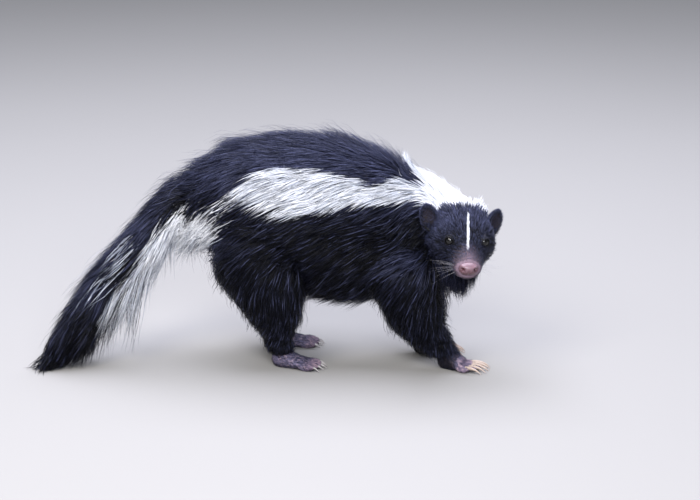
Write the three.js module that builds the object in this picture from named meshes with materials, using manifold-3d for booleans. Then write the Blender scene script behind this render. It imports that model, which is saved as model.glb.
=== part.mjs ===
// A striped skunk standing on all fours with its head turned to its right, life size, as one still model.
// Millimetres. +X points forward along the body, +Y to the animal's left, +Z up. The floor is z = 0.
import * as THREE from 'three';
import * as BufferGeometryUtils from 'three/addons/utils/BufferGeometryUtils.js';
import { MeshSurfaceSampler } from 'three/addons/math/MeshSurfaceSampler.js';
import Module from 'manifold-3d';

const wasm = await Module();
wasm.setup();

// Driving dimensions
const gap = 0.3; // between parts that touch

// The long coat's locks: distance between roots, length, width and thickness, and how far the tips stand off
const coat = {
  torso: { spacing: 21.5, length: 54, width: 8.6, thickness: 1.6, rise: 8.5, sink: 3 },
  neck: { spacing: 14, length: 38, width: 6, thickness: 1.4, rise: 8, sink: 3 },
  leg: { spacing: 17, length: 34, width: 5.6, thickness: 1.4, rise: 6, sink: 2.5 },
  tail: { spacing: 14, length: 56, width: 6, thickness: 1.4, rise: 9, sink: 2.5 },
};
// How steeply the hair falls on each part of the body
const fall = { flank: 0.75, belly: 0.3, leg: 2.9, neck: 0.25, throat: 0.5, tail: 0.3 };
const liftShares = [1, 1.25, 0.75]; // how far a lock is lifted if it would cross another part
const floorClear = { tip: 1.2, bend: 5 }; // how far above the floor a lock's tip and its bend stay

// The point midway between the ears, and the head's turns in degrees
const headPlace = { at: [104.4, -43, 131.5], yaw: -76.5, pitch: 12.5, roll: -4 };
const hindFoot = { reach: 44, width: 23, ankleHeight: 19 };
const foreFoot = { reach: 34, width: 23, ankleHeight: 17 };
const hindClaw = { length: 9.5, thickness: 1.5 };
const foreClaw = { length: 16, thickness: 1.7 };
const eye = { radius: 4.1, sink: 2.5, spread: 10.9, forward: 29, above: 4.6 };
const ear = { height: 13, width: 8.2, thickness: 4.4, wall: 1.5 };
const nosePad = { centre: [47.2, 0, -8.8], length: 6.2, width: 9.2, height: 6.2 };
const mouth = { lip: 1.6, slit: 0.7, depth: 1.3, front: [60, -18], bend: [42, -20], corner: [26, -14] };
const neckZone = { centre: [104, -18, 150], radii: [46, 52, 52] }; // what of the body belongs to the neck
const sleeve = { grow: 0.5, top: 60 }; // below this height a leg keeps its whole own shape
const tailCuts = [0.16, 0.36, 0.68]; // where the tail leaves the rump and where its lengths part
const room = { low: [-400, -200, -60], high: [300, 200, 300] }; // a box well clear of the whole animal

const colours = {
  black: 0x17171f,
  white: 0xeceef2,
  skin: 0x585060,
  nose: 0xb08a94,
  claw: 0xe2cfcb,
  darkClaw: 0x8d8684,
  eye: 0x0b0807,
};

const up = new THREE.Vector3(0, 0, 1);
const ahead = new THREE.Vector3(1, 0, 0);
const draw = () => THREE.MathUtils.seededRandom();

function vector(list) {
  return new THREE.Vector3(...list);
}

// Closed solids from three.js geometry, and back again
function solidOf(geometry) {
  const plain = geometry.clone();
  plain.deleteAttribute('normal');
  plain.deleteAttribute('uv');
  const merged = BufferGeometryUtils.mergeVertices(plain, 1e-4);
  return new wasm.Manifold(new wasm.Mesh({
    numProp: 3,
    vertProperties: new Float32Array(merged.attributes.position.array),
    triVerts: new Uint32Array(merged.index.array),
  }));
}

function geometryOf(solid) {
  const mesh = solid.getMesh();
  const geometry = new THREE.BufferGeometry();
  geometry.setAttribute('position', new THREE.BufferAttribute(new Float32Array(mesh.vertProperties), 3));
  geometry.setIndex(new THREE.BufferAttribute(new Uint32Array(mesh.triVerts), 1));
  geometry.computeVertexNormals();
  return geometry;
}

function largest(solid) {
  const bodies = solid.decompose();
  bodies.sort((a, b) => b.volume() - a.volume());
  return bodies[0];
}

function joined(solids) {
  return solids.reduce((sum, solid) => sum.add(solid));
}

// A rounded body drawn along a spine through stations. Each station gives its centre and its half sizes:
// side to side, towards the reference direction (over) and away from it (under).
function makeForm({ stations, reference = up, sides = 14, rings = 12, startCap = 0.12, endCap = 0.12 }) {
  const spine = new THREE.CatmullRomCurve3(stations.map((station) => vector(station.at)));
  const sizes = new THREE.CatmullRomCurve3(
    stations.map((station) => new THREE.Vector3(station.side, station.over, station.under)),
  );
  const capRings = Math.max(2, Math.round(rings / 5));

  // Rings lie closer together in the rounded ends
  function ringAt(row) {
    if (row <= capRings) {
      return startCap * (1 - Math.cos((row / capRings) * Math.PI / 2));
    }
    if (row >= rings - capRings) {
      return 1 - endCap * (1 - Math.cos(((rings - row) / capRings) * Math.PI / 2));
    }
    return startCap + (1 - startCap - endCap) * (row - capRings) / (rings - 2 * capRings);
  }

  function surface(t, angle, grow = 0) {
    const share = THREE.MathUtils.clamp(t, 0, 1);
    const centre = spine.getPoint(share);
    const along = spine.getTangent(share);
    const over = reference.clone().addScaledVector(along, -reference.dot(along)).normalize();
    const side = along.clone().cross(over);
    const size = sizes.getPoint(share);
    const intoStart = Math.max(0, 1 - share / startCap);
    const intoEnd = Math.max(0, 1 - (1 - share) / endCap);
    const round = Math.sqrt(Math.max(0, 1 - intoStart ** 2 - intoEnd ** 2));
    const towards = Math.sin(angle) > 0 ? size.y : size.z;
    return centre
      .addScaledVector(along, grow * (intoEnd - intoStart))
      .addScaledVector(side, (size.x + grow) * round * Math.cos(angle))
      .addScaledVector(over, (towards + grow) * round * Math.sin(angle));
  }

  function solid(grow = 0) {
    const geometry = new THREE.SphereGeometry(1, sides, rings);
    const position = geometry.attributes.position;
    for (let row = 0; row <= rings; row += 1) {
      for (let column = 0; column <= sides; column += 1) {
        const point = surface(ringAt(row), (2 * Math.PI * column) / sides, grow);
        position.setXYZ(row * (sides + 1) + column, point.x, point.y, point.z);
      }
    }
    return solidOf(geometry);
  }

  return { spine, surface, solid };
}

function mirrored(stations, shift) {
  return stations.map((station, index) => ({
    ...station,
    at: [station.at[0] + shift * (index / (stations.length - 1)), -station.at[1], station.at[2]],
  }));
}

function ellipsoid(centre, radii, grow = 0, sides = 12, rings = 8, turn = new THREE.Euler()) {
  const geometry = new THREE.SphereGeometry(1, sides, rings);
  geometry.scale(radii[0] + grow, radii[1] + grow, radii[2] + grow);
  geometry.applyMatrix4(new THREE.Matrix4().makeRotationFromEuler(turn));
  geometry.translate(...centre);
  return solidOf(geometry);
}

function block(low, high) {
  const geometry = new THREE.BoxGeometry(high[0] - low[0], high[1] - low[1], high[2] - low[2]);
  geometry.translate((high[0] + low[0]) / 2, (high[1] + low[1]) / 2, (high[2] + low[2]) / 2);
  return solidOf(geometry);
}

function below(height) {
  return block(room.low, [room.high[0], room.high[1], height]);
}

function above(height) {
  return block([room.low[0], room.low[1], height], room.high);
}

// Everything past a plane through a point, for cutting a long form square to its spine
function past(point, direction, reach = 400) {
  const geometry = new THREE.BoxGeometry(reach, reach, reach);
  geometry.translate(0, 0, reach / 2);
  const turn = new THREE.Quaternion().setFromUnitVectors(up, direction.clone().normalize());
  geometry.applyQuaternion(turn);
  geometry.translate(point.x, point.y, point.z);
  return solidOf(geometry);
}

// The trunk, measured to the core that lies under the coat's locks
const trunk = makeForm({
  sides: 16,
  rings: 13,
  startCap: 0.1,
  endCap: 0.1,
  stations: [
    { name: 'rump', at: [-138, 0, 152], side: 23, over: 29, under: 29 },
    { name: 'croup', at: [-110, 0, 149], side: 42, over: 49, under: 46 },
    { name: 'hips', at: [-79, 0, 144], side: 52, over: 62, under: 59 },
    { name: 'loin', at: [-45, 0, 138], side: 53, over: 70, under: 67 },
    { name: 'ribs', at: [-10, 0, 134], side: 50, over: 70, under: 69 },
    { name: 'chest', at: [22, 0, 130], side: 45, over: 63, under: 66 },
    { name: 'shoulders', at: [50, 0, 125], side: 38, over: 55, under: 58 },
    { name: 'breast', at: [86, -4, 115], side: 30, over: 40, under: 42 },
  ],
});

const neck = makeForm({
  sides: 16,
  rings: 10,
  stations: [
    { name: 'withers', at: [46, 0, 133], side: 37, over: 50, under: 46 },
    { name: 'root', at: [72, -1, 138], side: 35, over: 40, under: 48 },
    { name: 'bend', at: [90, -9, 139], side: 33, over: 36, under: 47 },
    { name: 'nape', at: [101, -24, 138], side: 31, over: 33, under: 42 },
    { name: 'occiput', at: [105, -42, 135], side: 27, over: 25, under: 32 },
  ],
});

const hindLegStations = [
  { name: 'hip', at: [-86, -26, 136], side: 29, over: 38, under: 32 },
  { name: 'thigh', at: [-80, -34, 104], side: 24, over: 37, under: 35 },
  { name: 'knee', at: [-68, -39, 74], side: 18, over: 28, under: 28 },
  { name: 'shin', at: [-63, -36, 48], side: 13, over: 20, under: 20 },
  { name: 'hock', at: [-62, -34, 28], side: 10.5, over: 12, under: 12.5 },
  { name: 'heel', at: [-57, -33, 8], side: 9, over: 12, under: 8 },
];

const foreLegStations = [
  { name: 'shoulder', at: [48, -24, 112], side: 19, over: 31, under: 28 },
  { name: 'arm', at: [55, -28, 88], side: 17, over: 31, under: 27 },
  { name: 'elbow', at: [62, -28, 64], side: 14, over: 27, under: 25 },
  { name: 'forearm', at: [69, -26, 43], side: 11.5, over: 19, under: 19 },
  { name: 'wrist', at: [81, -24, 24], side: 10, over: 12, under: 13 },
  { name: 'hand', at: [90, -22, 8], side: 9.5, over: 9, under: 9 },
];

const legs = [
  {
    name: 'hind_right', stations: hindLegStations, foot: hindFoot, claw: hindClaw, turn: -8,
    zone: { centre: [-74, -68, 84], radii: [47, 50, 60] },
  },
  {
    name: 'hind_left', stations: mirrored(hindLegStations, -10), foot: hindFoot, claw: hindClaw, turn: 6,
    zone: { centre: [-80, 68, 84], radii: [49, 50, 60] },
  },
  {
    name: 'fore_right', stations: foreLegStations, foot: foreFoot, claw: foreClaw, turn: -14,
    zone: { centre: [56, -60, 84], radii: [37, 47, 52] },
  },
  {
    name: 'fore_left', stations: mirrored(foreLegStations, -26), foot: foreFoot, claw: foreClaw, turn: 8,
    zone: { centre: [46, 60, 84], radii: [39, 47, 52] },
  },
];

const tail = makeForm({
  sides: 12,
  rings: 20,
  startCap: 0.08,
  endCap: 0.1,
  stations: [
    { name: 'root', at: [-112, 0, 160], side: 22, over: 24, under: 24 },
    { name: 'dock', at: [-134, -1, 159], side: 19, over: 20, under: 20 },
    { name: 'upper', at: [-160, -7, 145], side: 16, over: 14, under: 17 },
    { name: 'middle', at: [-188, -18, 117], side: 15, over: 12, under: 17 },
    { name: 'lower', at: [-214, -31, 86], side: 14, over: 12, under: 16 },
    { name: 'brush', at: [-237, -45, 54], side: 13, over: 12, under: 14 },
    { name: 'end', at: [-257, -57, 26], side: 10, over: 10, under: 11 },
    { name: 'tip', at: [-271, -64, 7], side: 6, over: 7, under: 8 },
  ],
});

// The feet are drawn in their own frame: x along the sole, z up from the floor, the ankle over x = 0
function footForm(foot) {
  const half = foot.width / 2;
  return makeForm({
    sides: 8,
    rings: 6,
    startCap: 0.2,
    endCap: 0.15,
    stations: [
      { name: 'heel', at: [-foot.reach * 0.28, 0, 7], side: half * 0.6, over: 8, under: 8 },
      { name: 'arch', at: [0, 0, 8], side: half * 0.78, over: 9, under: 9 },
      { name: 'ball', at: [foot.reach * 0.3, 0, 6], side: half * 0.98, over: 5, under: 7 },
      { name: 'knuckles', at: [foot.reach * 0.5, 0, 5], side: half, over: 4, under: 6 },
    ],
  });
}

const toeCount = 5;

// Where each toe of a foot starts, how far it reaches and which way it points
function toeRow(foot) {
  return Array.from({ length: toeCount }, (_, index) => {
    const place = index - (toeCount - 1) / 2;
    return {
      at: [foot.reach * (0.52 - 0.022 * place * place), place * foot.width * 0.2, 3.6],
      length: foot.reach * 0.18,
      turn: place * 0.09,
    };
  });
}

function toeSolid(toe, grow = 0) {
  const centre = [toe.at[0] + toe.length * 0.4, toe.at[1], toe.at[2]];
  const turn = new THREE.Euler(0, 0, toe.turn);
  return ellipsoid(centre, [toe.length, 2.75, 3.9], grow, 6, 4, turn);
}

function bentCone(path, width, thickness, sides, steps) {
  const geometry = new THREE.CylinderGeometry(0, 1, 1, sides, steps);
  const position = geometry.attributes.position;
  for (let index = 0; index < position.count; index += 1) {
    const share = position.getY(index) + 0.5;
    const point = path.getPoint(share);
    const along = path.getTangent(share);
    const side = up.clone().cross(along).normalize();
    const over = along.clone().cross(side);
    point.addScaledVector(over, position.getX(index) * thickness);
    point.addScaledVector(side, position.getZ(index) * width);
    position.setXYZ(index, point.x, point.y, point.z);
  }
  return solidOf(geometry);
}

function clawSolid(toe, claw) {
  const tip = toe.at[0] + toe.length * 1.25;
  const start = new THREE.Vector3(tip - 1, toe.at[1], toe.at[2] + 0.9);
  const heading = new THREE.Vector3(Math.cos(toe.turn), Math.sin(toe.turn), 0);
  const middle = start.clone().addScaledVector(heading, claw.length * 0.55);
  middle.addScaledVector(up, claw.length * 0.06);
  const end = start.clone().addScaledVector(heading, claw.length).setZ(0.7);
  const path = new THREE.QuadraticBezierCurve3(start.clone().addScaledVector(heading, -2.5), middle, end);
  return bentCone(path, claw.thickness * 0.8, claw.thickness, 5, 3);
}

// Head, in its own frame: x towards the nose, y to its left, z up, origin midway between the ears
const head = makeForm({
  sides: 16,
  rings: 14,
  startCap: 0.16,
  endCap: 0.12,
  stations: [
    { name: 'occiput', at: [-24, 0, 2], side: 24, over: 23, under: 20 },
    { name: 'braincase', at: [-12, 0, 1], side: 28.5, over: 28, under: 25 },
    { name: 'ears', at: [0, 0, 0], side: 30.5, over: 29, under: 27 },
    { name: 'cheeks', at: [12, 0, -1], side: 29.5, over: 26.5, under: 26 },
    { name: 'brow', at: [22, 0, -3], side: 25, over: 22, under: 22 },
    { name: 'eyes', at: [30, 0, -5.5], side: 19.5, over: 18, under: 18 },
    { name: 'muzzle', at: [38, 0, -8], side: 15, over: 12, under: 13.5 },
    { name: 'lips', at: [46, 0, -10], side: 11.5, over: 8, under: 10.5 },
    { name: 'front', at: [51, 0, -11], side: 9, over: 5.5, under: 8 },
  ],
});

function headMatrix() {
  const yaw = THREE.MathUtils.degToRad(headPlace.yaw);
  const pitch = THREE.MathUtils.degToRad(headPlace.pitch);
  const roll = THREE.MathUtils.degToRad(headPlace.roll);
  const turn = new THREE.Euler(roll, pitch, yaw, 'ZYX');
  return new THREE.Matrix4().makeRotationFromEuler(turn).setPosition(...headPlace.at);
}

function transformed(solid, matrix) {
  const geometry = geometryOf(solid);
  geometry.applyMatrix4(matrix);
  return solidOf(geometry);
}

// Walks out from the head's axis to its skin
function headSkin(forward, spread, above) {
  const axis = new THREE.Vector3(forward, 0, -5);
  const aim = new THREE.Vector3(0, spread, above + 5).normalize();
  let best = null;
  for (let t = 0.3; t < 0.95; t += 0.005) {
    for (let angle = 0; angle < 2 * Math.PI; angle += 0.05) {
      const point = head.surface(t, angle);
      const off = point.clone().sub(axis).normalize().distanceTo(aim) + Math.abs(point.x - forward) * 0.05;
      if (!best || off < best.off) {
        best = { point, off };
      }
    }
  }
  return best.point;
}

function eyeCentre(side) {
  const skin = headSkin(eye.forward, side * eye.spread, eye.above);
  const inward = new THREE.Vector3(eye.forward - 16, 0, -4).sub(skin).normalize();
  return skin.addScaledVector(inward, eye.sink);
}

function eyeTurn(side) {
  return new THREE.Euler(0, Math.PI / 2 - 0.12, side * 0.62, 'ZYX');
}

function lids(side) {
  const centre = eyeCentre(side);
  const ring = new THREE.TorusGeometry(eye.radius * 0.98, 1.15, 5, 10);
  ring.scale(0.86, 1.12, 1);
  ring.translate(0, 0, eye.sink - 0.6);
  ring.applyMatrix4(new THREE.Matrix4().makeRotationFromEuler(eyeTurn(side)));
  ring.translate(centre.x, centre.y, centre.z);
  return solidOf(ring);
}

// The band that the mouth follows, seen from the side, swept right across the muzzle
function mouthBand(thickness) {
  const half = thickness / 2;
  const { front, bend, corner } = mouth;
  const outline = new THREE.Shape();
  outline.moveTo(front[0], front[1] + half);
  outline.quadraticCurveTo(bend[0], bend[1] + half, corner[0], corner[1] + half);
  outline.lineTo(corner[0], corner[1] - half);
  outline.quadraticCurveTo(bend[0], bend[1] - half, front[0], front[1] - half);
  outline.closePath();
  const depth = 60;
  const geometry = new THREE.ExtrudeGeometry(outline, { depth, bevelEnabled: false, curveSegments: 3 });
  geometry.translate(0, 0, -depth / 2);
  geometry.rotateX(Math.PI / 2);
  return solidOf(geometry);
}

function earTurn(side) {
  return new THREE.Euler(side * -0.42, -0.12, side * 0.5, 'ZYX');
}

function earOuter(side, grow = 0) {
  return ellipsoid([-4, side * 29, 13.5], [ear.thickness, ear.width, ear.height], grow, 12, 8, earTurn(side));
}

function earSolid(side) {
  const turn = earTurn(side);
  const cup = new THREE.Vector3(ear.thickness * 0.75, 0, 0.8).applyEuler(turn);
  const inner = [ear.thickness * 0.95, ear.width - ear.wall, ear.height - ear.wall];
  const centre = [cup.x - 4, cup.y + side * 29, cup.z + 13.5];
  return earOuter(side).subtract(ellipsoid(centre, inner, 0, 10, 7, turn));
}

function noseSolid(grow = 0) {
  const radii = [nosePad.length, nosePad.width, nosePad.height];
  return ellipsoid(nosePad.centre, radii, grow, 10, 7);
}

function nostril(side) {
  const front = nosePad.centre[0] + nosePad.length;
  const centre = [front - 1.2, side * 4.4, nosePad.centre[2] + 0.2];
  const turn = new THREE.Euler(side * 0.5, 0, side * 0.5);
  return ellipsoid(centre, [2.6, 2.1, 1.5], 0, 6, 4, turn);
}

const floor = below(0);
const parts = {};

function makeHead() {
  const matrix = headMatrix();
  const sides = [-1, 1];
  const lipBand = mouthBand(mouth.lip * 2).intersect(head.solid(0.7));
  const slit = mouthBand(mouth.slit).subtract(head.solid(-mouth.depth));
  let skull = joined([head.solid(), lipBand, ...sides.map(lids)]);
  skull = skull.subtract(slit).subtract(noseSolid(gap));
  sides.forEach((side) => {
    const centre = eyeCentre(side);
    const socket = Array(3).fill(eye.radius + gap);
    skull = skull.subtract(ellipsoid(centre.toArray(), socket, 0, 10, 8, eyeTurn(side)));
  });
  skull = largest(skull);
  const nose = sides.reduce((solid, side) => solid.subtract(nostril(side)), noseSolid());
  parts.head = { solid: skull, matrix, colour: colours.black, roughness: 0.8 };
  parts.nose = { solid: largest(nose), matrix, colour: colours.nose, roughness: 0.5 };
  sides.forEach((side) => {
    const word = side < 0 ? 'right' : 'left';
    const ball = ellipsoid(eyeCentre(side).toArray(), Array(3).fill(eye.radius), 0, 10, 8, eyeTurn(side));
    const shell = largest(earSolid(side).subtract(head.solid(gap)));
    parts[`eye_${word}`] = { solid: ball, matrix, colour: colours.eye, roughness: 0.1 };
    parts[`ear_${word}`] = { solid: shell, matrix, colour: colours.black, roughness: 0.8 };
  });
}

function footMatrix(leg) {
  const ankle = leg.stations[leg.stations.length - 1].at;
  const turn = new THREE.Euler(0, 0, THREE.MathUtils.degToRad(leg.turn));
  return new THREE.Matrix4().makeRotationFromEuler(turn).setPosition(ankle[0], ankle[1], 0);
}

function makeBody() {
  const headAll = transformed(joined([head.solid(gap), earOuter(-1, gap), earOuter(1, gap)]), headMatrix());
  const flesh = joined([trunk.solid(), neck.solid(), tail.solid().subtract(pastTail(tailCuts[0], 0))]);
  const limbs = legs.map((leg) => makeForm({ stations: leg.stations, reference: ahead, sides: 10, rings: 9 }));
  const whole = joined([flesh, ...limbs.map((limb) => limb.solid())]);
  const forward = joined([ellipsoid(neckZone.centre, neckZone.radii, gap), headAll]);
  const tailSocket = tail.solid(gap).intersect(pastTail(tailCuts[0], -gap));
  let torso = whole.subtract(forward).subtract(tailSocket);
  legs.forEach((leg, index) => {
    const [zone, zoneGrown] = [0, gap].map((grow) => joined([
      ellipsoid(leg.zone.centre, leg.zone.radii, grow),
      limbs[index].solid(sleeve.grow + grow).intersect(below(sleeve.top)),
    ]));
    torso = torso.subtract(zoneGrown);
    const inner = flesh.intersect(ellipsoid(leg.zone.centre, leg.zone.radii));
    const limb = joined([limbs[index].solid().intersect(zone), inner]);
    const upper = limb.intersect(above(leg.foot.ankleHeight)).subtract(forward);
    parts[`leg_${leg.name}`] = { solid: largest(upper), colour: colours.black, roughness: 0.85, locks: 'leg' };
    makeFoot(leg, limbs[index]);
  });
  const neckPart = flesh.intersect(ellipsoid(neckZone.centre, neckZone.radii)).subtract(headAll);
  parts.torso = { solid: largest(torso), colour: colours.black, roughness: 0.85, locks: 'torso' };
  parts.neck = { solid: largest(neckPart), colour: colours.white, roughness: 0.85, locks: 'neck' };
  return joined([whole, tail.solid()]).subtract(floor);
}

function makeFoot(leg, limb) {
  const matrix = footMatrix(leg);
  const inverse = matrix.clone().invert();
  const toes = toeRow(leg.foot);
  const ankle = transformed(limb.solid().intersect(below(leg.foot.ankleHeight - gap)), inverse);
  const paw = joined([ankle, footForm(leg.foot).solid(), ...toes.map((toe) => toeSolid(toe))]).subtract(floor);
  parts[`paw_${leg.name}`] = { solid: largest(paw), matrix, colour: colours.skin, roughness: 0.7 };
  toes.forEach((toe, index) => {
    const claw = toes.reduce((solid, other) => solid.subtract(toeSolid(other, gap)), clawSolid(toe, leg.claw));
    const colour = leg.claw === foreClaw ? colours.claw : colours.darkClaw;
    parts[`claw_${leg.name}_${index + 1}`] = { solid: largest(claw), matrix, colour, roughness: 0.35 };
  });
}

// The nearest place on a mesh to a point, with the way its surface faces there
function makeSkin(geometry) {
  const position = geometry.attributes.position;
  const index = geometry.index;
  const faces = [];
  for (let start = 0; start < index.count; start += 3) {
    const corners = [start, start + 1, start + 2].map((corner) => (
      new THREE.Vector3().fromBufferAttribute(position, index.getX(corner))
    ));
    const face = new THREE.Triangle(...corners);
    const middle = face.getMidpoint(new THREE.Vector3());
    const reach = Math.max(...corners.map((corner) => corner.distanceTo(middle)));
    faces.push({ face, middle, reach, normal: face.getNormal(new THREE.Vector3()) });
  }
  return function nearest(point) {
    const best = { distance: Infinity, point: new THREE.Vector3(), normal: up };
    const spot = new THREE.Vector3();
    faces.forEach(({ face, middle, reach, normal }) => {
      if (middle.distanceTo(point) - reach > best.distance) {
        return;
      }
      face.closestPointToPoint(point, spot);
      const distance = spot.distanceTo(point);
      if (distance < best.distance) {
        best.distance = distance;
        best.point.copy(spot);
        best.normal = normal;
      }
    });
    return best;
  };
}

// Roots spread evenly over a surface: random places, each kept only if it lies far enough from the others
function evenRoots(geometry, spacing, draws) {
  const sampler = new MeshSurfaceSampler(new THREE.Mesh(geometry)).setRandomGenerator(draw).build();
  const roots = [];
  for (let count = 0; count < draws; count += 1) {
    const at = new THREE.Vector3();
    sampler.sample(at);
    if (roots.every((root) => root.distanceTo(at) > spacing(at))) {
      roots.push(at);
    }
  }
  return roots;
}

// A flat tapered lock along a path: three edges, its ridge away from the body, widest a third of the way out
function lockSolid(path, facing, width, thickness, grow = 0) {
  const geometry = new THREE.CylinderGeometry(0, 1, 1, 3, 3, false, Math.PI / 2);
  const position = geometry.attributes.position;
  for (let index = 0; index < position.count; index += 1) {
    const share = position.getY(index) + 0.5;
    const round = Math.max(1e-6, 1 - share);
    const breadth = share > 0.99 ? 0 : 0.75 + 0.75 * share - 1.7 * share * share;
    const point = path.getPoint(share);
    const along = path.getTangent(share);
    const side = facing.clone().cross(along).normalize();
    const over = along.clone().cross(side);
    point.addScaledVector(over, (position.getX(index) / round) * (thickness * breadth + grow));
    point.addScaledVector(side, (position.getZ(index) / round) * (width * breadth + grow));
    position.setXYZ(index, point.x, point.y, point.z);
  }
  return solidOf(geometry);
}

// Which way the hair lies at a place on the body
function lie(kind, at, normal) {
  const underneath = Math.max(0, -normal.z);
  if (kind === 'tail') {
    return tail.spine.getTangent(nearestShare(tail.spine, at)).addScaledVector(up, -fall.tail);
  }
  if (kind === 'leg') {
    return new THREE.Vector3(-1, 0, -fall.leg);
  }
  if (kind === 'neck') {
    const along = neck.spine.getTangent(nearestShare(neck.spine, at)).negate();
    return along.addScaledVector(up, -fall.neck - fall.throat * underneath);
  }
  return new THREE.Vector3(-1, 0, -fall.flank * Math.abs(normal.y) - fall.belly * underneath);
}

function nearestShare(spine, at) {
  let best = 0;
  for (let share = 0; share <= 1; share += 0.02) {
    if (spine.getPoint(share).distanceTo(at) < spine.getPoint(best).distanceTo(at)) {
      best = share;
    }
  }
  return best;
}

function vary(amount) {
  return 1 + amount * (2 * draw() - 1);
}

// One lock from its root, bent to follow the body, its tip at the coat's own distance from the core
function lockPath(skin, root, size, kind, lift) {
  const start = skin(root);
  const heading = lie(kind, root, start.normal);
  heading.addScaledVector(start.normal, -heading.dot(start.normal)).normalize();
  const length = size.length * vary(0.15);
  const middle = skin(root.clone().addScaledVector(heading, length * 0.5));
  const end = skin(root.clone().addScaledVector(heading, length));
  const tip = end.point.clone().addScaledVector(end.normal, size.rise * lift);
  const through = middle.point.clone().addScaledVector(middle.normal, size.rise * 0.62 * lift);
  const from = start.point.clone().addScaledVector(start.normal, -size.sink);
  if (kind === 'tail') {
    const hang = THREE.MathUtils.clamp(0.55 - 0.8 * start.normal.z, 0.15, 1);
    const along = tail.spine.getTangent(nearestShare(tail.spine, root)).multiplyScalar(0.8);
    along.addScaledVector(up, -0.6 * hang);
    tip.lerp(root.clone().addScaledVector(along, length), hang);
    through.lerp(root.clone().addScaledVector(along, length * 0.5).addScaledVector(start.normal, 3), hang);
  }
  tip.z = Math.max(tip.z, floorClear.tip);
  const bend = through.clone().multiplyScalar(2).addScaledVector(from, -0.5).addScaledVector(tip, -0.5);
  bend.z = Math.max(bend.z, floorClear.bend);
  const facing = start.normal.clone().lerp(end.normal, 0.5);
  return { path: new THREE.QuadraticBezierCurve3(from, bend, tip), facing };
}

// Locks are joined to the part they grow from. One that would cross another part is lifted clear or left out.
function growLocks(whole) {
  const skinGeometry = geometryOf(whole);
  const skin = makeSkin(skinGeometry);
  const bearers = Object.entries(parts).filter(([, part]) => part.locks);
  const skins = bearers.map(([, part]) => makeSkin(geometryOf(part.solid)));
  const spacing = (at) => coat[ownerKind(at, bearers, skins)]?.spacing ?? Infinity;
  const placed = Object.entries(parts).map(([name, part]) => ({ name, solid: placedSolid(part) }));
  evenRoots(skinGeometry, spacing, 2600).forEach((root) => {
    const owner = ownerIndex(root, skins);
    if (owner < 0) {
      return;
    }
    const [name, part] = bearers[owner];
    const size = coat[part.locks];
    for (const lift of liftShares) {
      const { path, facing } = lockPath(skin, root, size, part.locks, lift);
      const width = size.width * vary(0.15);
      const clear = lockSolid(path, facing, width, size.thickness, gap);
      const crosses = placed.some((other) => other.name !== name && clear.intersect(other.solid).volume() > 0);
      if (!crosses) {
        part.solid = part.solid.add(lockSolid(path, facing, width, size.thickness));
        placed.find((other) => other.name === name).solid = part.solid;
        return;
      }
    }
  });
  bearers.forEach(([, part]) => {
    part.solid = largest(part.solid);
  });
}

function placedSolid(part) {
  return part.matrix ? transformed(part.solid, part.matrix) : part.solid;
}

function ownerIndex(at, skins) {
  return skins.findIndex((skin) => skin(at).distance < 0.05);
}

function ownerKind(at, bearers, skins) {
  const owner = ownerIndex(at, skins);
  return owner < 0 ? undefined : bearers[owner][1].locks;
}

// The tail beyond a cut, stepped back by half the gap so that neighbouring lengths stay apart
function pastTail(share, step) {
  const along = tail.spine.getTangent(share);
  return past(tail.spine.getPoint(share).addScaledVector(along, step), along);
}

function makeTail() {
  const whole = tail.solid().subtract(floor);
  ['tail_base', 'tail_middle', 'tail_tip'].forEach((name, index) => {
    let length = whole.intersect(pastTail(tailCuts[index], gap / 2));
    if (index + 1 < tailCuts.length) {
      length = length.subtract(pastTail(tailCuts[index + 1], -gap / 2));
    }
    parts[name] = { solid: largest(length), colour: colours.black, roughness: 0.85, locks: 'tail' };
  });
}

THREE.MathUtils.seededRandom(11);
makeHead();
const body = makeBody();
makeTail();
growLocks(body);

const skunk = new THREE.Group();
Object.entries(parts).forEach(([name, part]) => {
  const material = new THREE.MeshStandardMaterial({ color: part.colour, roughness: part.roughness });
  const mesh = new THREE.Mesh(geometryOf(part.solid), material);
  mesh.name = name;
  if (part.matrix) {
    part.matrix.decompose(mesh.position, mesh.quaternion, mesh.scale);
  }
  skunk.add(mesh);
});

// The origin lies on the floor under the middle of the whole animal
skunk.updateMatrixWorld(true);
const bounds = new THREE.Box3().setFromObject(skunk, true);
const middle = bounds.getCenter(new THREE.Vector3());
skunk.position.set(-middle.x, -middle.y, -bounds.min.z);

export default skunk;
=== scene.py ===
# A striped skunk as a still, life-size museum model: one skin, a coat of mesh tufts, eyes, nose pad,
# claws and whiskers. Metres in the frame of the solids: +X forward, +Y to the animal's left, +Z up,
# the floor at z = 0.
import math

import bpy
import numpy as np
from mathutils import Euler, Matrix, Vector
from mathutils.bvhtree import BVHTree
from mathutils.kdtree import KDTree


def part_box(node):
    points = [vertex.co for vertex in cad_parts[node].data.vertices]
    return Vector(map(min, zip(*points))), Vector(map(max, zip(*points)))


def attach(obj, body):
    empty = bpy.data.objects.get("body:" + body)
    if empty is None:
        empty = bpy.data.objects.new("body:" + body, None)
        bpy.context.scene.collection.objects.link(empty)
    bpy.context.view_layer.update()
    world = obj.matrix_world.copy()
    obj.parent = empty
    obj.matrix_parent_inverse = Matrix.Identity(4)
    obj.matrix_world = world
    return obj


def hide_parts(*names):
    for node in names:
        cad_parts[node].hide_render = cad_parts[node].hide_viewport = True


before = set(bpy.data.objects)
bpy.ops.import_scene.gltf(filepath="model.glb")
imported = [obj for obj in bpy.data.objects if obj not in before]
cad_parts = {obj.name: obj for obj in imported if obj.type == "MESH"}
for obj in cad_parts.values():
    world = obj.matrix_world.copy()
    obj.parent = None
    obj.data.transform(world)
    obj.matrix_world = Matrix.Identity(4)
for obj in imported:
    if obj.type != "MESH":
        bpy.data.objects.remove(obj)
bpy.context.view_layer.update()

mm = 0.001
up = np.array([0.0, 0.0, 1.0])
ahead = np.array([1.0, 0.0, 0.0])
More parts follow.
